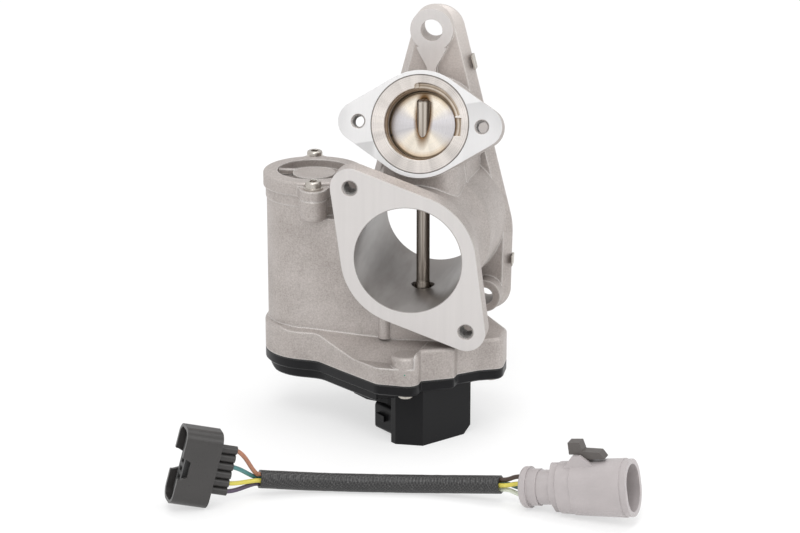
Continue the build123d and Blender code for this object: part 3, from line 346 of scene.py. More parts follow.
casting = {
    "light": colour(197, 190, 186), "dark": colour(158, 150, 145), "metal": 0.55,
    # thread tones: darker than the casting, a painted shade inside the holes
    "thread": colour(126, 120, 115), "threadDark": colour(74, 69, 65),
    # edge: painted highlight along the casting's edges, partly worn bare metal
    "edge": colour(242, 239, 236), "edgeRadius": 1.2 * mm, "edgeSpread": 4.5, "edgeWearAndHighlightShare": 0.8,
    "fineEdge": 0.25 * mm,
    # painted light: the casting turns lighter toward its top, between the given heights
    "upper": colour(226, 219, 214), "upperShare": 0.62, "upperSpan": (48 * mm, 96 * mm),
    # painted shade in hollows and inner corners: its darkest tone and its reach
    "cavity": 0.80, "cavityReach": 9 * mm,
}
milled = {
    "front": colour(212, 208, 206), "port": colour(226, 225, 225), "lineSpan": (0.3, 0.7),
    "roughSpan": (0.34, 0.46), "reflectionLean": 0.16, "reflectionLow": 0.25,
    # painted reflections, grey patches on the port face: across from and to, up from and to, soft end, share
    # kept
    "portPaintedReflections": [(20, 22, 4.6, 5.2, -9, 0.80), (33, 40, 14, 15, -16, 0.86),
                   (-22, -20, -4.0, -3.4, -15, 0.76), (-40, -31, 9, 14, -15, 0.84)],
}
# duct wall: streaky wear, and a painted shade that grows deeper in and on the left
ductWall = {
    "tone": colour(166, 161, 158), "wearAndShadeTone": colour(138, 131, 127), "radius": 25 * mm, "long": 80 * mm,
    "grain": (90, 18, 90), "depthShadeSpan": (-0.12, 0.16), "wearAndShadeSpan": (0.35, 0.68), "rough": 0.34,
    "leftShade": 0.86, "leftSpan": (-25 * mm, -4 * mm),
}
# a point on each machined plane, where it faces, its cutter marks, tone, contrast and painted reflections
frontFace = ((0, 0, 0), (0, -1, 0), (260, 260, 8), milled["front"], 0.06, [])
portPad = (portFace, portNormal, (1300, 60, 60), milled["port"], 0.03, milled["portPaintedReflections"])
plateFront = ((0, 69 * mm, 0), (0, -1, 0), (900, 900, 200), milled["front"], 0.05, [])
paintDot = {"spot": (0.6 * mm, -10.8 * mm, -51.5 * mm), "radius": 1.3 * mm, "tint": colour(70, 150, 125)}


def milledPlane(tree, where, fineNormal, plane):
    # mask, tone, roughness and normal of one machined plane
    point, axis, lineScale, tint, contrast, paintedReflections = plane
    mask = place(tree, faceMask, {"Point": point, "Axis": axis})["Mask"]
    cut = place(tree, cutLines, {"Scale": lineScale, "Normal": fineNormal})
    shade = spread(tree, cut["Lines"], *milled["lineSpan"], 1.0 - contrast, 1.0)
    across = partOf(tree, where, "X")
    up = doVector(tree, "DOT_PRODUCT", doVector(tree, "SUBTRACT", where, point), (0, -axis[2], -axis[1]))
    up = doMath(tree, "SUBTRACT", up, doMath(tree, "MULTIPLY", across, milled["reflectionLean"]))
    for left, right, rise, top, low, kept in paintedReflections:
        # a painted reflection grows toward its outer end, and fades out above and below
        start, end = (right, left) if left < 0 else (left, right)
        patch = spread(tree, across, start * mm, end * mm)
        patch = doMath(tree, "MULTIPLY", patch, spread(tree, up, top * mm, rise * mm))
        fade = spread(tree, up, low * mm, rise * mm, milled["reflectionLow"], 1.0)
        patch = doMath(tree, "MULTIPLY", patch, fade)
        shade = doMath(tree, "MULTIPLY", shade, mixValue(tree, patch, 1.0, kept))
    tone = mixColour(tree, 1.0, tint, greyTone(tree, shade), "MULTIPLY")
    rough = spread(tree, cut["Lines"], *milled["lineSpan"], *milled["roughSpan"])
    return mask, tone, rough, cut["Normal"]


def wornAndShadedDuct(tree, where):
    # mask and tone of the duct's bored wall: streaky wear, with painted shade deeper in and on its left
    wall = place(tree, boreMask, {"Point": (0, 0, 0), "Axis": (0, 1, 0), "Radius": ductWall["radius"]})
    wear = noise(tree, doVector(tree, "MULTIPLY", where, ductWall["grain"]), 1.0, 3.0, 0.6)
    paintedDepthShade = spread(tree, wall["Along"], 0.0, ductWall["long"], *ductWall["depthShadeSpan"])
    share = spread(tree, doMath(tree, "ADD", wear, paintedDepthShade), *ductWall["wearAndShadeSpan"])
    tone = mixColour(tree, share, ductWall["tone"], ductWall["wearAndShadeTone"])
    # painted shade on the duct's left
    side = spread(tree, partOf(tree, where, "X"), *ductWall["leftSpan"], ductWall["leftShade"], 1.0)
    return wall["Mask"], mixColour(tree, 1.0, tone, greyTone(tree, side), "MULTIPLY")


def castMaterial(name, light, dark, machinedPlanes=(), bored=False, dot=None):
    material, tree, shader = newMaterial(name)
    where = objectPlace(tree)
    edge = place(tree, softEdge, {"Radius": casting["edgeRadius"], "Spread": casting["edgeSpread"]})
    fineNormal = place(tree, softEdge, {"Radius": casting["fineEdge"]})["Normal"]
    skin = place(tree, sandGrain, {"Light": light, "Dark": dark, "Normal": edge["Normal"]})
    # painted shade in hollows and inner corners
    occlusionShade = place(tree, cavity, {"Reach": casting["cavityReach"], "Dark": casting["cavity"]})["Shade"]
    # painted light: lighter tone higher up the casting
    upper = spread(tree, partOf(tree, where, "Z"), *casting["upperSpan"], 0.0, casting["upperShare"])
    base = mixColour(tree, 1.0, skin["Color"], occlusionShade, "MULTIPLY")
    base = mixColour(tree, upper, base, casting["upper"])
    # painted highlight along the edges, partly worn bare metal
    base = mixColour(tree, doMath(tree, "MULTIPLY", edge["Edge"], casting["edgeWearAndHighlightShare"]), base,
                     casting["edge"])
    rough, normal = skin["Roughness"], skin["Normal"]
    for plane in machinedPlanes:
        mask, tone, planeRough, planeNormal = milledPlane(tree, where, fineNormal, plane)
        base = mixColour(tree, mask, base, tone)
        rough = mixValue(tree, mask, rough, planeRough)
        normal = mixVector(tree, mask, normal, planeNormal)
    if bored:
        mask, tone = wornAndShadedDuct(tree, where)
        base = mixColour(tree, mask, base, tone)
        rough = mixValue(tree, mask, rough, ductWall["rough"])
        normal = mixVector(tree, mask, normal, fineNormal)
    if dot:
        away = doVector(tree, "LENGTH", doVector(tree, "SUBTRACT", where, dot["spot"]))
        base = mixColour(tree, doMath(tree, "LESS_THAN", away, dot["radius"]), base, dot["tint"])
    feed(tree, base, shader["Base Color"])
    feed(tree, rough, shader["Roughness"])
    feed(tree, normal, shader["Normal"])
    shader["Metallic"].default_value = casting["metal"]
    return material


housingCast = castMaterial("housingCast", casting["light"], casting["dark"],
                           [frontFace, portPad, plateFront], bored=True, dot=paintDot)
capCast = castMaterial("capCast", casting["light"], casting["dark"])
# the threads take darker tones: painted shade inside the holes
shadedThreadCast = castMaterial("shadedThreadCast", casting["thread"], casting["threadDark"])
print("casting finishes built")


# turned and polished steels

steel = {
    "edgeRadius": 0.3 * mm, "reach": 23.5 * mm, "paintedStreakSpan": (0.32, 0.68), "ringSpan": (0.3, 0.7),
    "ringTone": (0.94, 1.04), "ringDepth": 0.012 * mm, "sideSpan": (0.70, 0.96), "anisotropy": 0.45,
    "recessDeep": 2.0 * mm, "recessFrom": 15.95 * mm, "reflectionStripeSpan": (-3.3 * mm, 3.3 * mm),
}
seatLook = {
    "ramp": [(0.0, colour(214, 204, 194)), (0.70, colour(222, 214, 206)), (0.73, colour(232, 225, 219)),
             (0.955, colour(228, 221, 216)), (0.975, colour(84, 78, 72))],
    "rough": (0.22, 0.36), "paintedStreakTone": (0.76, 1.06),
    "deep": [(0.4 * mm, 2.4 * mm, colour(196, 184, 170)), (3.0 * mm, 6.0 * mm, colour(104, 82, 60))],
    "recess": [(0.675, colour(92, 72, 54)), (0.70, colour(150, 130, 110)), (0.735, colour(226, 214, 200)),
               (0.765, colour(160, 142, 122)), (0.80, colour(214, 200, 184)), (0.815, colour(84, 66, 50))],
}
flapLook = {
    "ramp": [(0.0, colour(238, 224, 202)), (0.25, colour(248, 238, 222)), (0.52, colour(250, 241, 227)),
             (0.61, colour(230, 212, 188)), (0.645, colour(112, 90, 64))],
    "rough": (0.24, 0.36), "paintedStreakTone": (0.90, 1.08), "sideTint": colour(208, 205, 207),
    "weld": {"start": 3.3 * mm, "end": 4.9 * mm, "tint": colour(128, 98, 66)},
}
shaftLook = {
    "ramp": [(0.0, colour(158, 148, 136)), (1.0, colour(158, 148, 136))],
    "rough": (0.18, 0.30), "paintedStreakTone": (0.90, 1.1), "metal": 0.7,
    # painted highlights and dark reflections in stripes across the shaft
    "paintedReflectionStripes": [(0.0, colour(92, 80, 68)), (0.10, colour(140, 128, 116)), (0.24, colour(222, 214, 204)),
                (0.42, colour(206, 198, 188)), (0.54, colour(132, 122, 112)), (0.68, colour(206, 198, 188)),
                (0.84, colour(146, 134, 122)), (1.0, colour(92, 80, 68))],
}


def toneRamp(tree, value, stops):
    node = addNode(tree, "ShaderNodeValToRGB", {"Fac": value})
    while len(node.color_ramp.elements) < len(stops):
        node.color_ramp.elements.new(0.5)
    for stop, (spot, tone) in zip(node.color_ramp.elements, stops):
        stop.position = spot
        stop.color = tone
    return node.outputs["Color"]


def turnedMaterial(name, point, axis, look):
    material, tree, shader = newMaterial(name)
    where = objectPlace(tree)
    lathe = place(tree, turnedRingsAndStreaks, {"Point": point, "Axis": axis})
    edge = place(tree, softEdge, {"Radius": steel["edgeRadius"]})
    outward = doMath(tree, "DIVIDE", lathe["Radius"], steel["reach"])
    base = toneRamp(tree, outward, look["ramp"])
    if "sideTint" in look:
        # cooler bands to the left and right of the middle
        offset = doVector(tree, "SUBTRACT", where, point)
        sideways = doMath(tree, "ABSOLUTE", partOf(tree, offset, "X"))
        share = doMath(tree, "DIVIDE", sideways, doMath(tree, "MAXIMUM", lathe["Radius"], 0.001))
        base = mixColour(tree, spread(tree, share, *steel["sideSpan"]), base, look["sideTint"])
    below = doVector(tree, "DOT_PRODUCT", doVector(tree, "SUBTRACT", point, where), axis)
    for low, high, tone in look.get("deep", ()):
        base = mixColour(tree, spread(tree, below, low, high), base, tone)
    if "recess" in look:
        # floor of the side recess: brown edges, bright middle
        floor = doMath(tree, "MULTIPLY", doMath(tree, "GREATER_THAN", below, steel["recessDeep"]),
                       doMath(tree, "GREATER_THAN", lathe["Radius"], steel["recessFrom"]))
        base = mixColour(tree, floor, base, toneRamp(tree, outward, look["recess"]))
    if "paintedReflectionStripes" in look:
        # painted highlights and dark reflections in stripes along the shaft, set by sideways place
        across = spread(tree, partOf(tree, where, "X"), *steel["reflectionStripeSpan"])
        base = toneRamp(tree, across, look["paintedReflectionStripes"])
    if "weld" in look:
        # heat mark in the disc round the shaft
        weld = look["weld"]
        flat = doVector(tree, "MULTIPLY", doVector(tree, "SUBTRACT", where, shaftPoint), (1, 1, 0))
        heat = spread(tree, doVector(tree, "LENGTH", flat), weld["start"], weld["end"], 1.0, 0.0)
        base = mixColour(tree, heat, base, weld["tint"])
    # painted highlight: bright and dark streaks by angle round the axis
    light = spread(tree, lathe["Streaks"], *steel["paintedStreakSpan"], *look["paintedStreakTone"])
    rings = spread(tree, lathe["Rings"], *steel["ringSpan"], *steel["ringTone"])
    grey = greyTone(tree, doMath(tree, "MULTIPLY", light, rings))
    feed(tree, mixColour(tree, 1.0, base, grey, "MULTIPLY"), shader["Base Color"])
    feed(tree, spread(tree, lathe["Rings"], *steel["ringSpan"], *look["rough"]), shader["Roughness"])
    feed(tree, bumpNormal(tree, lathe["Rings"], steel["ringDepth"], edge["Normal"]), shader["Normal"])
    feed(tree, lathe["Tangent"], shader["Tangent"])
    shader["Metallic"].default_value = look.get("metal", 1.0)
    shader["Anisotropic"].default_value = steel["anisotropy"]
    return material


seatSteel = turnedMaterial("seatSteel", portFace, portNormal, seatLook)
flapSteel = turnedMaterial("flapSteel", port["flapCentre"], portNormal, flapLook)
shaftSteel = turnedMaterial("shaftSteel", shaftPoint, (0, 0, 1), shaftLook)
print("steel finishes built")


# plain metals and moulded plastics

metalSkin = {"edgeRadius": 0.2 * mm, "grain": 900.0, "cloud": 180.0, "pits": 0.01 * mm, "darkShare": 0.72,
             "edgeWearAndHighlightShare": 0.4, "bare": (0.9, 0.9, 0.9, 1)}
plasticSkin = {"edgeRadius": 0.35 * mm, "edgeSpread": 4.0, "grain": 2200.0, "cloud": 70.0, "pits": 0.02 * mm,
               "darkShare": 0.80, "paleGain": 1.5, "paleLift": 0.02}


def darker(tint, share):
    return [value * share for value in tint[:3]] + [1.0]


def plainMetal(name, tint, rough, metal=1.0):
    material, tree, shader = newMaterial(name)
    edge = place(tree, softEdge, {"Radius": metalSkin["edgeRadius"]})
    skin = place(tree, sandGrain, {
        "Light": tint, "Dark": darker(tint, metalSkin["darkShare"]), "Grain Scale": metalSkin["grain"],
        "Cloud Scale": metalSkin["cloud"], "Bump Depth": metalSkin["pits"], "Normal": edge["Normal"]})
    worn = doMath(tree, "MULTIPLY", edge["Edge"], metalSkin["edgeWearAndHighlightShare"])
    feed(tree, mixColour(tree, worn, skin["Color"], metalSkin["bare"]), shader["Base Color"])
    feed(tree, doMath(tree, "MULTIPLY", skin["Roughness"], rough * 2), shader["Roughness"])
    feed(tree, skin["Normal"], shader["Normal"])
    shader["Metallic"].default_value = metal
    return material


def mouldedPlastic(name, tint, rough=0.45, wear=0.25, paleEdge=None, braided=None, gloss=0.5):
    material, tree, shader = newMaterial(name)
    edge = place(tree, softEdge, {"Radius": plasticSkin["edgeRadius"], "Spread": plasticSkin["edgeSpread"]})
    skin = place(tree, sandGrain, {
        "Light": tint, "Dark": darker(tint, plasticSkin["darkShare"]), "Grain Scale": plasticSkin["grain"],
        "Cloud Scale": plasticSkin["cloud"], "Bump Depth": plasticSkin["pits"], "Normal": edge["Normal"]})
    pale = paleEdge or [min(1.0, value * plasticSkin["paleGain"] + plasticSkin["paleLift"])
                        for value in tint[:3]] + [1.0]
    base = mixColour(tree, doMath(tree, "MULTIPLY", edge["Edge"], wear), skin["Color"], pale)
    normal = skin["Normal"]
    if braided:
        cloth = place(tree, braid, {"Pitch": braided["pitch"], "Normal": normal})
        base = mixColour(tree, cloth["Yarn"], braided["gap"], base)
        base = mixColour(tree, doMath(tree, "MULTIPLY", cloth["Flecks"], cloth["Yarn"]), base,
                         braided["fleck"])
        normal = cloth["Normal"]
    feed(tree, base, shader["Base Color"])
    feed(tree, doMath(tree, "MULTIPLY", skin["Roughness"], rough * 2), shader["Roughness"])
    feed(tree, normal, shader["Normal"])
    shader["Specular IOR Level"].default_value = gloss
    return material


sleeveBraid = {"pitch": 1.5 * mm, "gap": colour(26, 26, 27), "fleck": colour(96, 95, 94)}
materials = {
    "spring": plainMetal("springSteel", colour(140, 124, 104), 0.30),
    "bearing": plainMetal("bearingSteel", colour(205, 205, 205), 0.22),
    "zinc": plainMetal("zincScrews", colour(206, 200, 192), 0.30),
    "bronze": plainMetal("sinteredBronze", colour(182, 140, 92), 0.45),
    "copper": plainMetal("tinnedCopper", colour(208, 190, 150), 0.30),
    "can": plainMetal("motorCan", colour(190, 188, 182), 0.35),
    "cover": mouldedPlastic("coverPlastic", colour(20, 20, 22), 0.36, wear=0.12, gloss=0.22),
    "seal": mouldedPlastic("sealRubber", colour(38, 38, 38), 0.60),
    "gear": mouldedPlastic("gearPlastic", colour(226, 222, 208), 0.42),
    "board": mouldedPlastic("boardLacquer", colour(40, 96, 62), 0.35),
    "magnet": mouldedPlastic("magnetFerrite", colour(70, 70, 74), 0.50),
    "gasket": plainMetal("gasketSheet", colour(204, 198, 188), 0.34, metal=0.8),
    "socket": mouldedPlastic("socketPlastic", colour(60, 58, 57), 0.30, wear=0.5),
    "insert": mouldedPlastic("socketInsert", colour(60, 60, 60), 0.48),
    "plug": mouldedPlastic("plugPlastic", colour(186, 179, 179), 0.26, wear=0.6,
                           paleEdge=colour(222, 216, 216)),
    "clip": mouldedPlastic("clipPlastic", colour(92, 87, 84), 0.45),
    "sleeve": mouldedPlastic("sleevePlastic", colour(56, 55, 55), 0.34, wear=0.0, braided=sleeveBraid),
}
wireTints = {
    "Brown": colour(176, 122, 96), "Teal": colour(84, 138, 138), "Yellow": colour(222, 208, 92),
    "Violet": colour(84, 70, 92), "DarkBrown": colour(74, 58, 50), "Green": colour(72, 108, 104),
    "White": colour(226, 232, 214),
}
for wireName, wireTint in wireTints.items():
    materials[wireName] = mouldedPlastic("wire" + wireName, wireTint, 0.34, wear=0.0)
print("plastics built")

nodeFinish = {
    "main_housing": housingCast, "motor_cap": capCast, "seat_ring": seatSteel, "flap_disc": flapSteel,
    "valve_shaft": shaftSteel, "piston_ring": materials["spring"], "return_spring": materials["spring"],
    "wave_washer": materials["spring"], "guide_bush": materials["bronze"], "shaft_seal": materials["seal"],
    "cap_seal": materials["seal"], "cover_gasket": materials["seal"], "shaft_bearing": materials["bearing"],
    "rotor_shaft": materials["bearing"], "intermediate_pin": materials["bearing"],
    "sector_gear": materials["gear"], "intermediate_gear": materials["gear"],
    "sensor_magnet": materials["magnet"], "motor_pinion": materials["bronze"], "motor_can": materials["can"],
    "motor_screws": materials["zinc"], "motor_contacts": materials["copper"],
    "lead_frame": materials["copper"], "connector_pins": materials["copper"],
    "cap_screws": materials["zinc"], "cover_screws": materials["zinc"], "gear_cover": materials["cover"],
    "sensor_board": materials["board"], "rear_gasket": materials["gasket"],
    "lead_socket_housing": materials["socket"], "lead_socket_insert": materials["insert"],
    "lead_socket_terminals": materials["copper"], "lead_sleeve": materials["sleeve"],
    "lead_plug_housing": materials["plug"], "lead_plug_cap": materials["plug"],
    "lead_plug_clip": materials["clip"], "lead_plug_pins": materials["copper"],
    "socket_wire_brown": materials["Brown"], "socket_wire_teal": materials["Teal"],
    "socket_wire_yellow": materials["Yellow"], "socket_wire_violet": materials["Violet"],
    "plug_wire_dark_brown": materials["DarkBrown"], "plug_wire_yellow": materials["Yellow"],
    "plug_wire_green": materials["Green"], "plug_wire_white": materials["White"],
}
for nodeName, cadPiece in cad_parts.items():
    cadPiece.data.materials.clear()
    cadPiece.data.materials.append(nodeFinish[nodeName])
print("finishes on the frame's nodes")


# shapes made of rings of points

def addObject(name, data):
    piece = bpy.data.objects.new(name, data)
    bpy.context.scene.collection.objects.link(piece)
    return piece


def ringAt(stand, height, radiusAt, segments):
    # one ring of points about a stand's axis; its radius is given by the angle
    points = []
    for index in range(segments):
        angle = 2 * math.pi * index / segments
        radius = radiusAt(angle)
        points.append(stand @ Vector((radius * math.cos(angle), radius * math.sin(angle), height)))
    return points


def ringMesh(name, rings, material, capped=True, sharp=32.0):
    # skins rings of points; the ends are capped, or the last ring joins the first
    mesh = bmesh.new()
    loops = [[mesh.verts.new(point) for point in ring] for ring in rings]
    count = len(loops[0])
    pairs = list(zip(loops, loops[1:]))
    if not capped:
        pairs.append((loops[-1], loops[0]))
    for low, high in pairs:
        for index in range(count):
            following = (index + 1) % count
            mesh.faces.new((low[index], low[following], high[following], high[index]))
    if capped:
        mesh.faces.new(list(reversed(loops[0])))
        mesh.faces.new(loops[-1])
    bmesh.ops.recalc_face_normals(mesh, faces=mesh.faces)
    for edge in mesh.edges:
        edge.smooth = len(edge.link_faces) != 2 or edge.calc_face_angle(0.0) < math.radians(sharp)
    for face in mesh.faces:
        face.smooth = True
    data = bpy.data.meshes.new(name)
    mesh.to_mesh(data)
    mesh.free()
    data.materials.append(material)
    return addObject(name, data)


def axisFrame(origin, axis):
    # matrix that stands a shape built along +Z on origin, pointing along axis
    return Matrix.Translation(Vector(origin)) @ Vector(axis).to_track_quat("Z", "Y").to_matrix().to_4x4()


def joinPieces(name, pieces):
    bpy.ops.object.select_all(action="DESELECT")
    for piece in pieces:
        piece.select_set(True)
    bpy.context.view_layer.objects.active = pieces[0]
    bpy.ops.object.join()
    pieces[0].name = name
    return pieces[0]


# flanged screws with a six-lobed recess

screwForm = {
    "segments": 72, "sharp": 40.0, "lobes": 6, "lobeWave": 0.13, "tipIn": 0.5 * mm, "tipHigh": 0.6 * mm,
    "shoulder": 0.15 * mm, "crownShare": 0.35, "recessEdge": 0.02 * mm, "recessLip": 0.15 * mm,
    "recessWall": 0.93, "recessFloor": 0.25, "floorDrop": 0.5 * mm,
}
capScrew = {
    "angles": [-78.5, 101.5], "circle": 26.5 * mm, "centre": (-52.4 * mm, 40.5 * mm),
    "seat": 27.5 * mm, "shank": 1.98 * mm, "length": 13.2 * mm, "flange": 4.5 * mm, "flangeHigh": 0.8 * mm,
    "head": 3.75 * mm, "high": 3.9 * mm, "crown": 0.9 * mm, "recess": 2.05 * mm, "recessDeep": 1.9 * mm,
}
coverScrew = {
    "places": [(0.0, -5.4), (35.0, 26.8), (14.0, 61.0), (-26.0, 64.0), (-70.0, 47.0)],
    "seat": -62.4 * mm, "shank": 1.98 * mm, "length": 14.0 * mm, "flange": 3.8 * mm, "flangeHigh": 0.6 * mm,
    "head": 3.5 * mm, "high": 2.4 * mm, "crown": 0.8 * mm, "recess": 1.9 * mm, "recessDeep": 1.3 * mm,
}


def lobedScrew(size, base, axis):
    # profile runs from the shank's tip up over the head and down into the recess
    stand, segments = axisFrame(base, axis), screwForm["segments"]
    high, bend = size["high"], screwForm["crownShare"] * size["crown"]
    floor = high - size["recessDeep"]
    profile = [
        (size["shank"] - screwForm["tipIn"], -size["length"]),
        (size["shank"], -size["length"] + screwForm["tipHigh"]), (size["shank"], 0),
        (size["flange"], 0), (size["flange"], size["flangeHigh"]),
        (size["head"], size["flangeHigh"] + screwForm["shoulder"]), (size["head"], high - size["crown"]),
        (size["head"] - bend, high - bend), (size["head"] - size["crown"], high),
    ]
    recess = [
        (1.0, high - screwForm["recessEdge"]), (screwForm["recessWall"], high - screwForm["recessLip"]),
        (screwForm["recessWall"], floor), (screwForm["recessFloor"], floor - screwForm["floorDrop"]),
    ]

    def lobes(angle):
        return size["recess"] * (1 + screwForm["lobeWave"] * math.cos(screwForm["lobes"] * angle))

    rings = [ringAt(stand, height, lambda angle, r=radius: r, segments) for radius, height in profile]
    rings += [ringAt(stand, height, lambda angle, s=share: s * lobes(angle), segments)
              for share, height in recess]
    return ringMesh("lobedScrew", rings, materials["zinc"], sharp=screwForm["sharp"])


def screwGroup():
    caps = []
    for angle in map(math.radians, capScrew["angles"]):
        x = capScrew["centre"][0] + capScrew["circle"] * math.cos(angle)
        y = capScrew["centre"][1] + capScrew["circle"] * math.sin(angle)
        caps.append(lobedScrew(capScrew, (x, y, capScrew["seat"]), (0, 0, 1)))
    capGroup = joinPieces("capScrewsLobed", caps)
    covers = [lobedScrew(coverScrew, (x * mm, y * mm, coverScrew["seat"]), (0, 0, -1))
              for x, y in coverScrew["places"]]
    coverGroup = joinPieces("coverScrewsLobed", covers)
    for group, node in ((capGroup, "cap_screws"), (coverGroup, "cover_screws")):
        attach(group, "valve_body")
        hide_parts(node)


screwGroup()
print("screws built")


# threads inside the flange holes

threadForm = {"segments": 40, "stepsPerTurn": 8, "slack": 0.03 * mm}
threadM8 = {"spots": [(-27, 0, 33), (27, 0, -33)], "outer": 3.385 * mm, "inner": 2.98 * mm,
            "pitch": 1.25 * mm, "start": 0.6 * mm, "end": 11.8 * mm}
threadPort = {"spots": [(-29, 0, 0), (29, 0, 0)], "outer": 3.035 * mm, "inner": 2.68 * mm,
              "pitch": 1.0 * mm, "start": 0.6 * mm, "end": 8.8 * mm}


def threadTube(size, mouth, axis):
    stand, segments = axisFrame(mouth, axis), threadForm["segments"]
    deep = size["end"] - size["start"]
    steps = int(deep / size["pitch"] * threadForm["stepsPerTurn"])
    ridgeHigh = size["outer"] - size["inner"]
    rings = []
    for step in range(steps + 1):
        depth = size["start"] + deep * step / steps

        def ridged(angle, turns=depth / size["pitch"]):
            phase = (turns + angle / (2 * math.pi)) % 1.0
            return size["outer"] - threadForm["slack"] - ridgeHigh * (1 - abs(2 * phase - 1))

        rings.append(ringAt(stand, -depth, ridged, segments))
    for depth in (size["end"], size["start"]):
        rings.append(ringAt(stand, -depth, lambda angle: size["outer"], segments))
    return ringMesh("thread", rings, shadedThreadCast, capped=False)


def flangeThreads():
    tubes = [threadTube(threadM8, Vector(spot) * mm, (0, -1, 0)) for spot in threadM8["spots"]]
    tubes += [threadTube(threadPort, portFace + Vector(spot) * mm, portNormal)
              for spot in threadPort["spots"]]
    group = joinPieces("flangeThreads", tubes)
    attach(group, "valve_body")


flangeThreads()
print("threads built")


# adapter lead: sleeve and wires follow the routes of the frame's tubes

lead = {
    "sleevePoints": [(-53.7, -73.0, -82.0), (-33.0, -63.5, -85.6), (-4.0, -59.8, -85.7),
                     (24.5, -55.9, -85.6), (53.1, -61.0, -81.5)],
    "sleeveRadius": 4.2 * mm, "sleeveWall": 0.9 * mm, "sleeveLength": 109.95 * mm, "sleeveSegments": 40,
    # ripples of the sleeve's skin: depth, how many around, how far they drift along it
    "ripples": [(0.012, 3, 40), (0.010, 5, -63)], "rippleShare": 0.9, "fullness": 0.985,
    "wireRadius": 1.0 * mm, "wireSpread": [(0.0, 2.3), (-1.5, 0.2), (1.5, -0.2), (0.0, -2.3)],
    "wireTuck": 3.0,
    "socketOrigin": (-72.4, -95.2, -90.0), "socketYaw": 208.0, "socketPitch": 15.5,
    "socketTall": 35.6, "socketThick": 15.0, "tubeLength": 9.0, "tubePitch": 3.9, "tubeCount": 6,
    "socketRows": [5, 3, 1, 0], "socketStop": 1.0, "socketOut": 2.2, "socketRun": 3.2,
    "plugOrigin": (63.8, -63.3, -80.85), "plugYaw": -12.0, "plugPitch": 8.7,
    "plugHoles": [(-1.0, 5.4), (-1.2, 2.1), (1.2, -1.2), (1.0, -4.4)],
    "plugStop": 2.0, "plugOut": 3.4, "plugRun": 4.6,
    "nearWires": ["Brown", "Teal", "Yellow", "Violet"],
    "farWires": ["DarkBrown", "Yellow", "Green", "White"],
    "wireNodes": {"Brown": "brown", "Teal": "teal", "Yellow": "yellow", "Violet": "violet",
                  "DarkBrown": "dark_brown", "Green": "green", "White": "white"},
}


def heading(yaw, pitch):
    turn, rise = math.radians(yaw), math.radians(pitch)
    return Vector((math.cos(turn) * math.cos(rise), math.sin(turn) * math.cos(rise), math.sin(rise)))


def upward(direction):
    return (Vector((0, 0, 1)) - direction * direction.z).normalized()


socketDir = heading(lead["socketYaw"], lead["socketPitch"])
socketUp = upward(socketDir)
socketBack = socketDir.cross(socketUp)
plugDir = heading(lead["plugYaw"], lead["plugPitch"])
plugUp = upward(plugDir)
plugSide = plugUp.cross(plugDir)


def smoothLine(name, points, bevel=0.0):
    data = bpy.data.curves.new(name, "CURVE")
    data.dimensions = "3D"
    spline = data.splines.new("NURBS")
    spline.points.add(len(points) - 1)
    for spot, point in zip(spline.points, points):
        spot.co = (*(Vector(point) * mm), 1.0)
    spline.order_u = 3
    spline.use_endpoint_u = True
    data.resolution_u = 24
    data.bevel_depth = bevel
    data.bevel_resolution = 8
    data.use_fill_caps = True
    return addObject(name, data)


def linePoints(name, points):
    guide = smoothLine(name, points)
    bpy.context.view_layer.update()
    mesh = bpy.data.meshes.new_from_object(guide)
    spots = [vertex.co.copy() for vertex in mesh.vertices]
    bpy.data.objects.remove(guide)
    bpy.data.meshes.remove(mesh)
    return spots


def leadSleeve():
    # soft sleeve, a little uneven, open at both ends
    spots = linePoints("sleeveGuide", lead["sleevePoints"])
    segments = lead["sleeveSegments"]
    outer, inner = [], []
    up = Vector((0, 0, 1))
    for index, spot in enumerate(spots):
        before = spots[max(index - 1, 0)]
        after = spots[min(index + 1, len(spots) - 1)]
        along = (after - before).normalized()
        side = along.cross(up).normalized()
        over = side.cross(along)
        share = index / (len(spots) - 1)
        ringOut, ringIn = [], []
        for turn in range(segments):
            angle = 2 * math.pi * turn / segments
            wave = sum(depth * math.sin(around * angle + drift * share)
                       for depth, around, drift in lead["ripples"])
            radius = lead["sleeveRadius"] * (lead["fullness"] - abs(wave) * lead["rippleShare"])
            direction = side * math.cos(angle) + over * math.sin(angle)
            ringOut.append(spot + direction * radius)
            ringIn.append(spot + direction * (lead["sleeveRadius"] - lead["sleeveWall"]))
        outer.append(ringOut)
        inner.append(ringIn)
    piece = ringMesh("leadSleeve", outer + list(reversed(inner)), materials["sleeve"], capped=False)
    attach(piece, "valve_body")
    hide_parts("lead_sleeve")
    return piece, spots


def sleeveEnd(end):
    # last point of the sleeve at one end, with the ways out, sideways and up
    here, beside = (0, 1) if end == "near" else (-1, -2)
    spot = Vector(lead["sleevePoints"][here])
    out = (spot - Vector(lead["sleevePoints"][beside])).normalized()
    up = upward(out)
    return spot, out, up.cross(out), up


def wireRoute(end, index):
    spot, out, side, up = sleeveEnd(end)
    across, high = lead["wireSpread"][index]
    start = spot + side * across + up * high
    inside = start - out * lead["wireTuck"]
    if end == "near":
        step = lead["socketRows"][index] - (lead["tubeCount"] - 1) / 2
        row = lead["socketTall"] / 2 + step * lead["tubePitch"]
        stop = (Vector(lead["socketOrigin"]) + socketDir * (lead["socketStop"] - lead["tubeLength"])
                + socketUp * row + socketBack * lead["socketThick"] / 2)
        return [inside, start, start + out * lead["socketOut"], stop - socketDir * lead["socketRun"], stop]
    across, high = lead["plugHoles"][index]
    stop = Vector(lead["plugOrigin"]) + plugDir * lead["plugStop"] + plugSide * across + plugUp * high
    return [inside, start, start + out * lead["plugOut"], stop - plugDir * lead["plugRun"], stop]


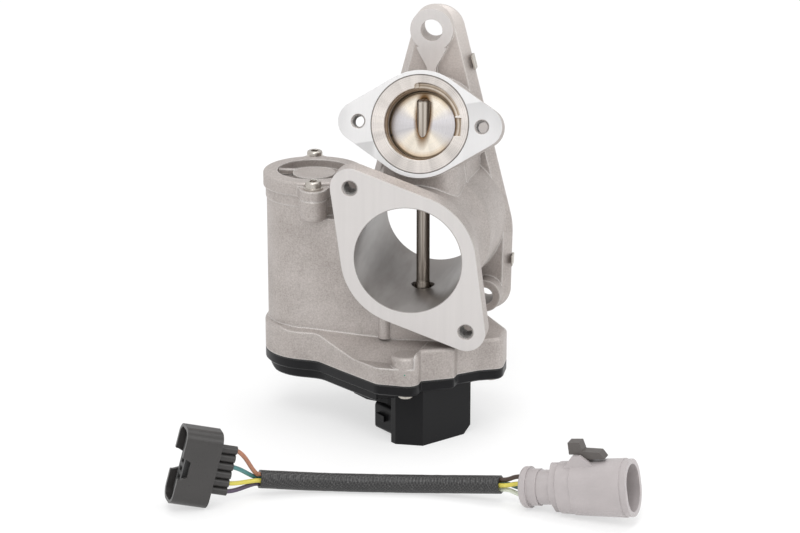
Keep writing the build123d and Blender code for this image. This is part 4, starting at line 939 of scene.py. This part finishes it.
def leadWires():
    pieces = []
    ends = (("near", lead["nearWires"], "socket_wire_"), ("far", lead["farWires"], "plug_wire_"))
    for end, names, prefix in ends:
        for index, wireName in enumerate(names):
            piece = smoothLine(end + "Wire" + wireName, wireRoute(end, index), lead["wireRadius"])
            piece.data.materials.append(materials[wireName])
            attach(piece, "valve_body")
            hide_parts(prefix + lead["wireNodes"][wireName])
            pieces.append(piece)
    return pieces


sleeve, sleevePath = leadSleeve()
wires = leadWires()
print("lead built")


# studio

studio = {
    "floorHalf": 8.0, "floorTint": (0.97, 0.97, 0.97, 1), "floorRough": 0.9, "floorGlow": 0.6,
    "ambient": 0.80, "shine": 0.97, "shineLow": 0.58, "shineSide": (-0.45, -0.35, 0.82),
    "shineSpan": (-0.5, 0.6), "aim": (0, 0.02, 0.0),
    "lamps": [
        ("keyLamp", (-0.1, -1.25, 1.9), 1.0, 15.0),
        ("fillLamp", (1.7, -0.7, 0.9), 1.0, 6.0),
        ("topLamp", (0.3, 0.4, 1.9), 1.0, 8.0),
    ],
}


def buildFloor():
    half = studio["floorHalf"]
    corners = [(x, y, floorHeight) for x, y in ((-half, -half), (half, -half), (half, half), (-half, half))]
    data = bpy.data.meshes.new("floor")
    data.from_pydata(corners, [], [(0, 1, 2, 3)])
    material, tree, shader = newMaterial("floorPaper")
    shader["Base Color"].default_value = studio["floorTint"]
    shader["Roughness"].default_value = studio["floorRough"]
    # the paper shows near white in the picture, and keeps a light shadow
    rays = addNode(tree, "ShaderNodeLightPath").outputs
    seen = doMath(tree, "MAXIMUM", rays["Is Camera Ray"], rays["Is Glossy Ray"])
    seen = doMath(tree, "MAXIMUM", seen, rays["Is Transmission Ray"])
    glow = addNode(tree, "ShaderNodeEmission", {"Color": (1, 1, 1, 1), "Strength": 1.0})
    blend = addNode(tree, "ShaderNodeMixShader")
    feed(tree, doMath(tree, "MULTIPLY", seen, studio["floorGlow"]), blend.inputs[0])
    tree.links.new(tree.nodes["Principled BSDF"].outputs[0], blend.inputs[1])
    tree.links.new(glow.outputs[0], blend.inputs[2])
    tree.links.new(blend.outputs[0], tree.nodes["Material Output"].inputs["Surface"])
    data.materials.append(material)
    addObject("floor", data)


def buildWorld():
    world = bpy.data.worlds.new("studioWorld")
    world.use_nodes = True
    tree = world.node_tree
    rays = addNode(tree, "ShaderNodeLightPath").outputs
    shiny = doMath(tree, "MAXIMUM", rays["Is Glossy Ray"], rays["Is Transmission Ray"])
    toward = addNode(tree, "ShaderNodeTexCoord").outputs["Generated"]
    bright = doVector(tree, "DOT_PRODUCT", toward, Vector(studio["shineSide"]).normalized())
    shine = spread(tree, bright, *studio["shineSpan"], studio["shineLow"], studio["shine"])
    strength = mixValue(tree, shiny, studio["ambient"], shine)
    strength = mixValue(tree, rays["Is Camera Ray"], strength, 1.0)
    background = tree.nodes["Background"]
    background.inputs["Color"].default_value = (1, 1, 1, 1)
    feed(tree, strength, background.inputs["Strength"])
    bpy.context.scene.world = world


def buildLamps():
    for name, spot, size, power in studio["lamps"]:
        lamp = bpy.data.lights.new(name, "AREA")
        lamp.size = size
        lamp.energy = power
        holder = addObject(name, lamp)
        holder.location = spot
        holder.rotation_euler = (Vector(studio["aim"]) - Vector(spot)).to_track_quat("-Z", "Y").to_euler()


# camera at the photograph's viewing angle: turned 10.5 degrees to the right of the front, 18 degrees down
view = {"turn": 10.5, "down": 18.0, "place": (0.20464, -1.12361, 0.36830), "lens": 118.0, "sensor": 36.0,
        "farClip": 50}


def buildCamera():
    turn, down = math.radians(view["turn"]), math.radians(view["down"])
    back = Vector((math.sin(turn) * math.cos(down), -math.cos(turn) * math.cos(down), math.sin(down)))
    right = Vector((math.cos(turn), math.sin(turn), 0))
    turnTo = Matrix((right, back.cross(right), back)).transposed().to_4x4()
    data = bpy.data.cameras.new("camera")
    data.lens = view["lens"]
    data.sensor_width = view["sensor"]
    data.clip_end = view["farClip"]
    camera = addObject("camera", data)
    camera.matrix_world = Matrix.Translation(Vector(view["place"])) @ turnTo
    bpy.context.scene.camera = camera


bpy.context.scene.view_settings.view_transform = "Standard"
buildFloor()
buildWorld()
buildLamps()
buildCamera()
print("studio and camera set")
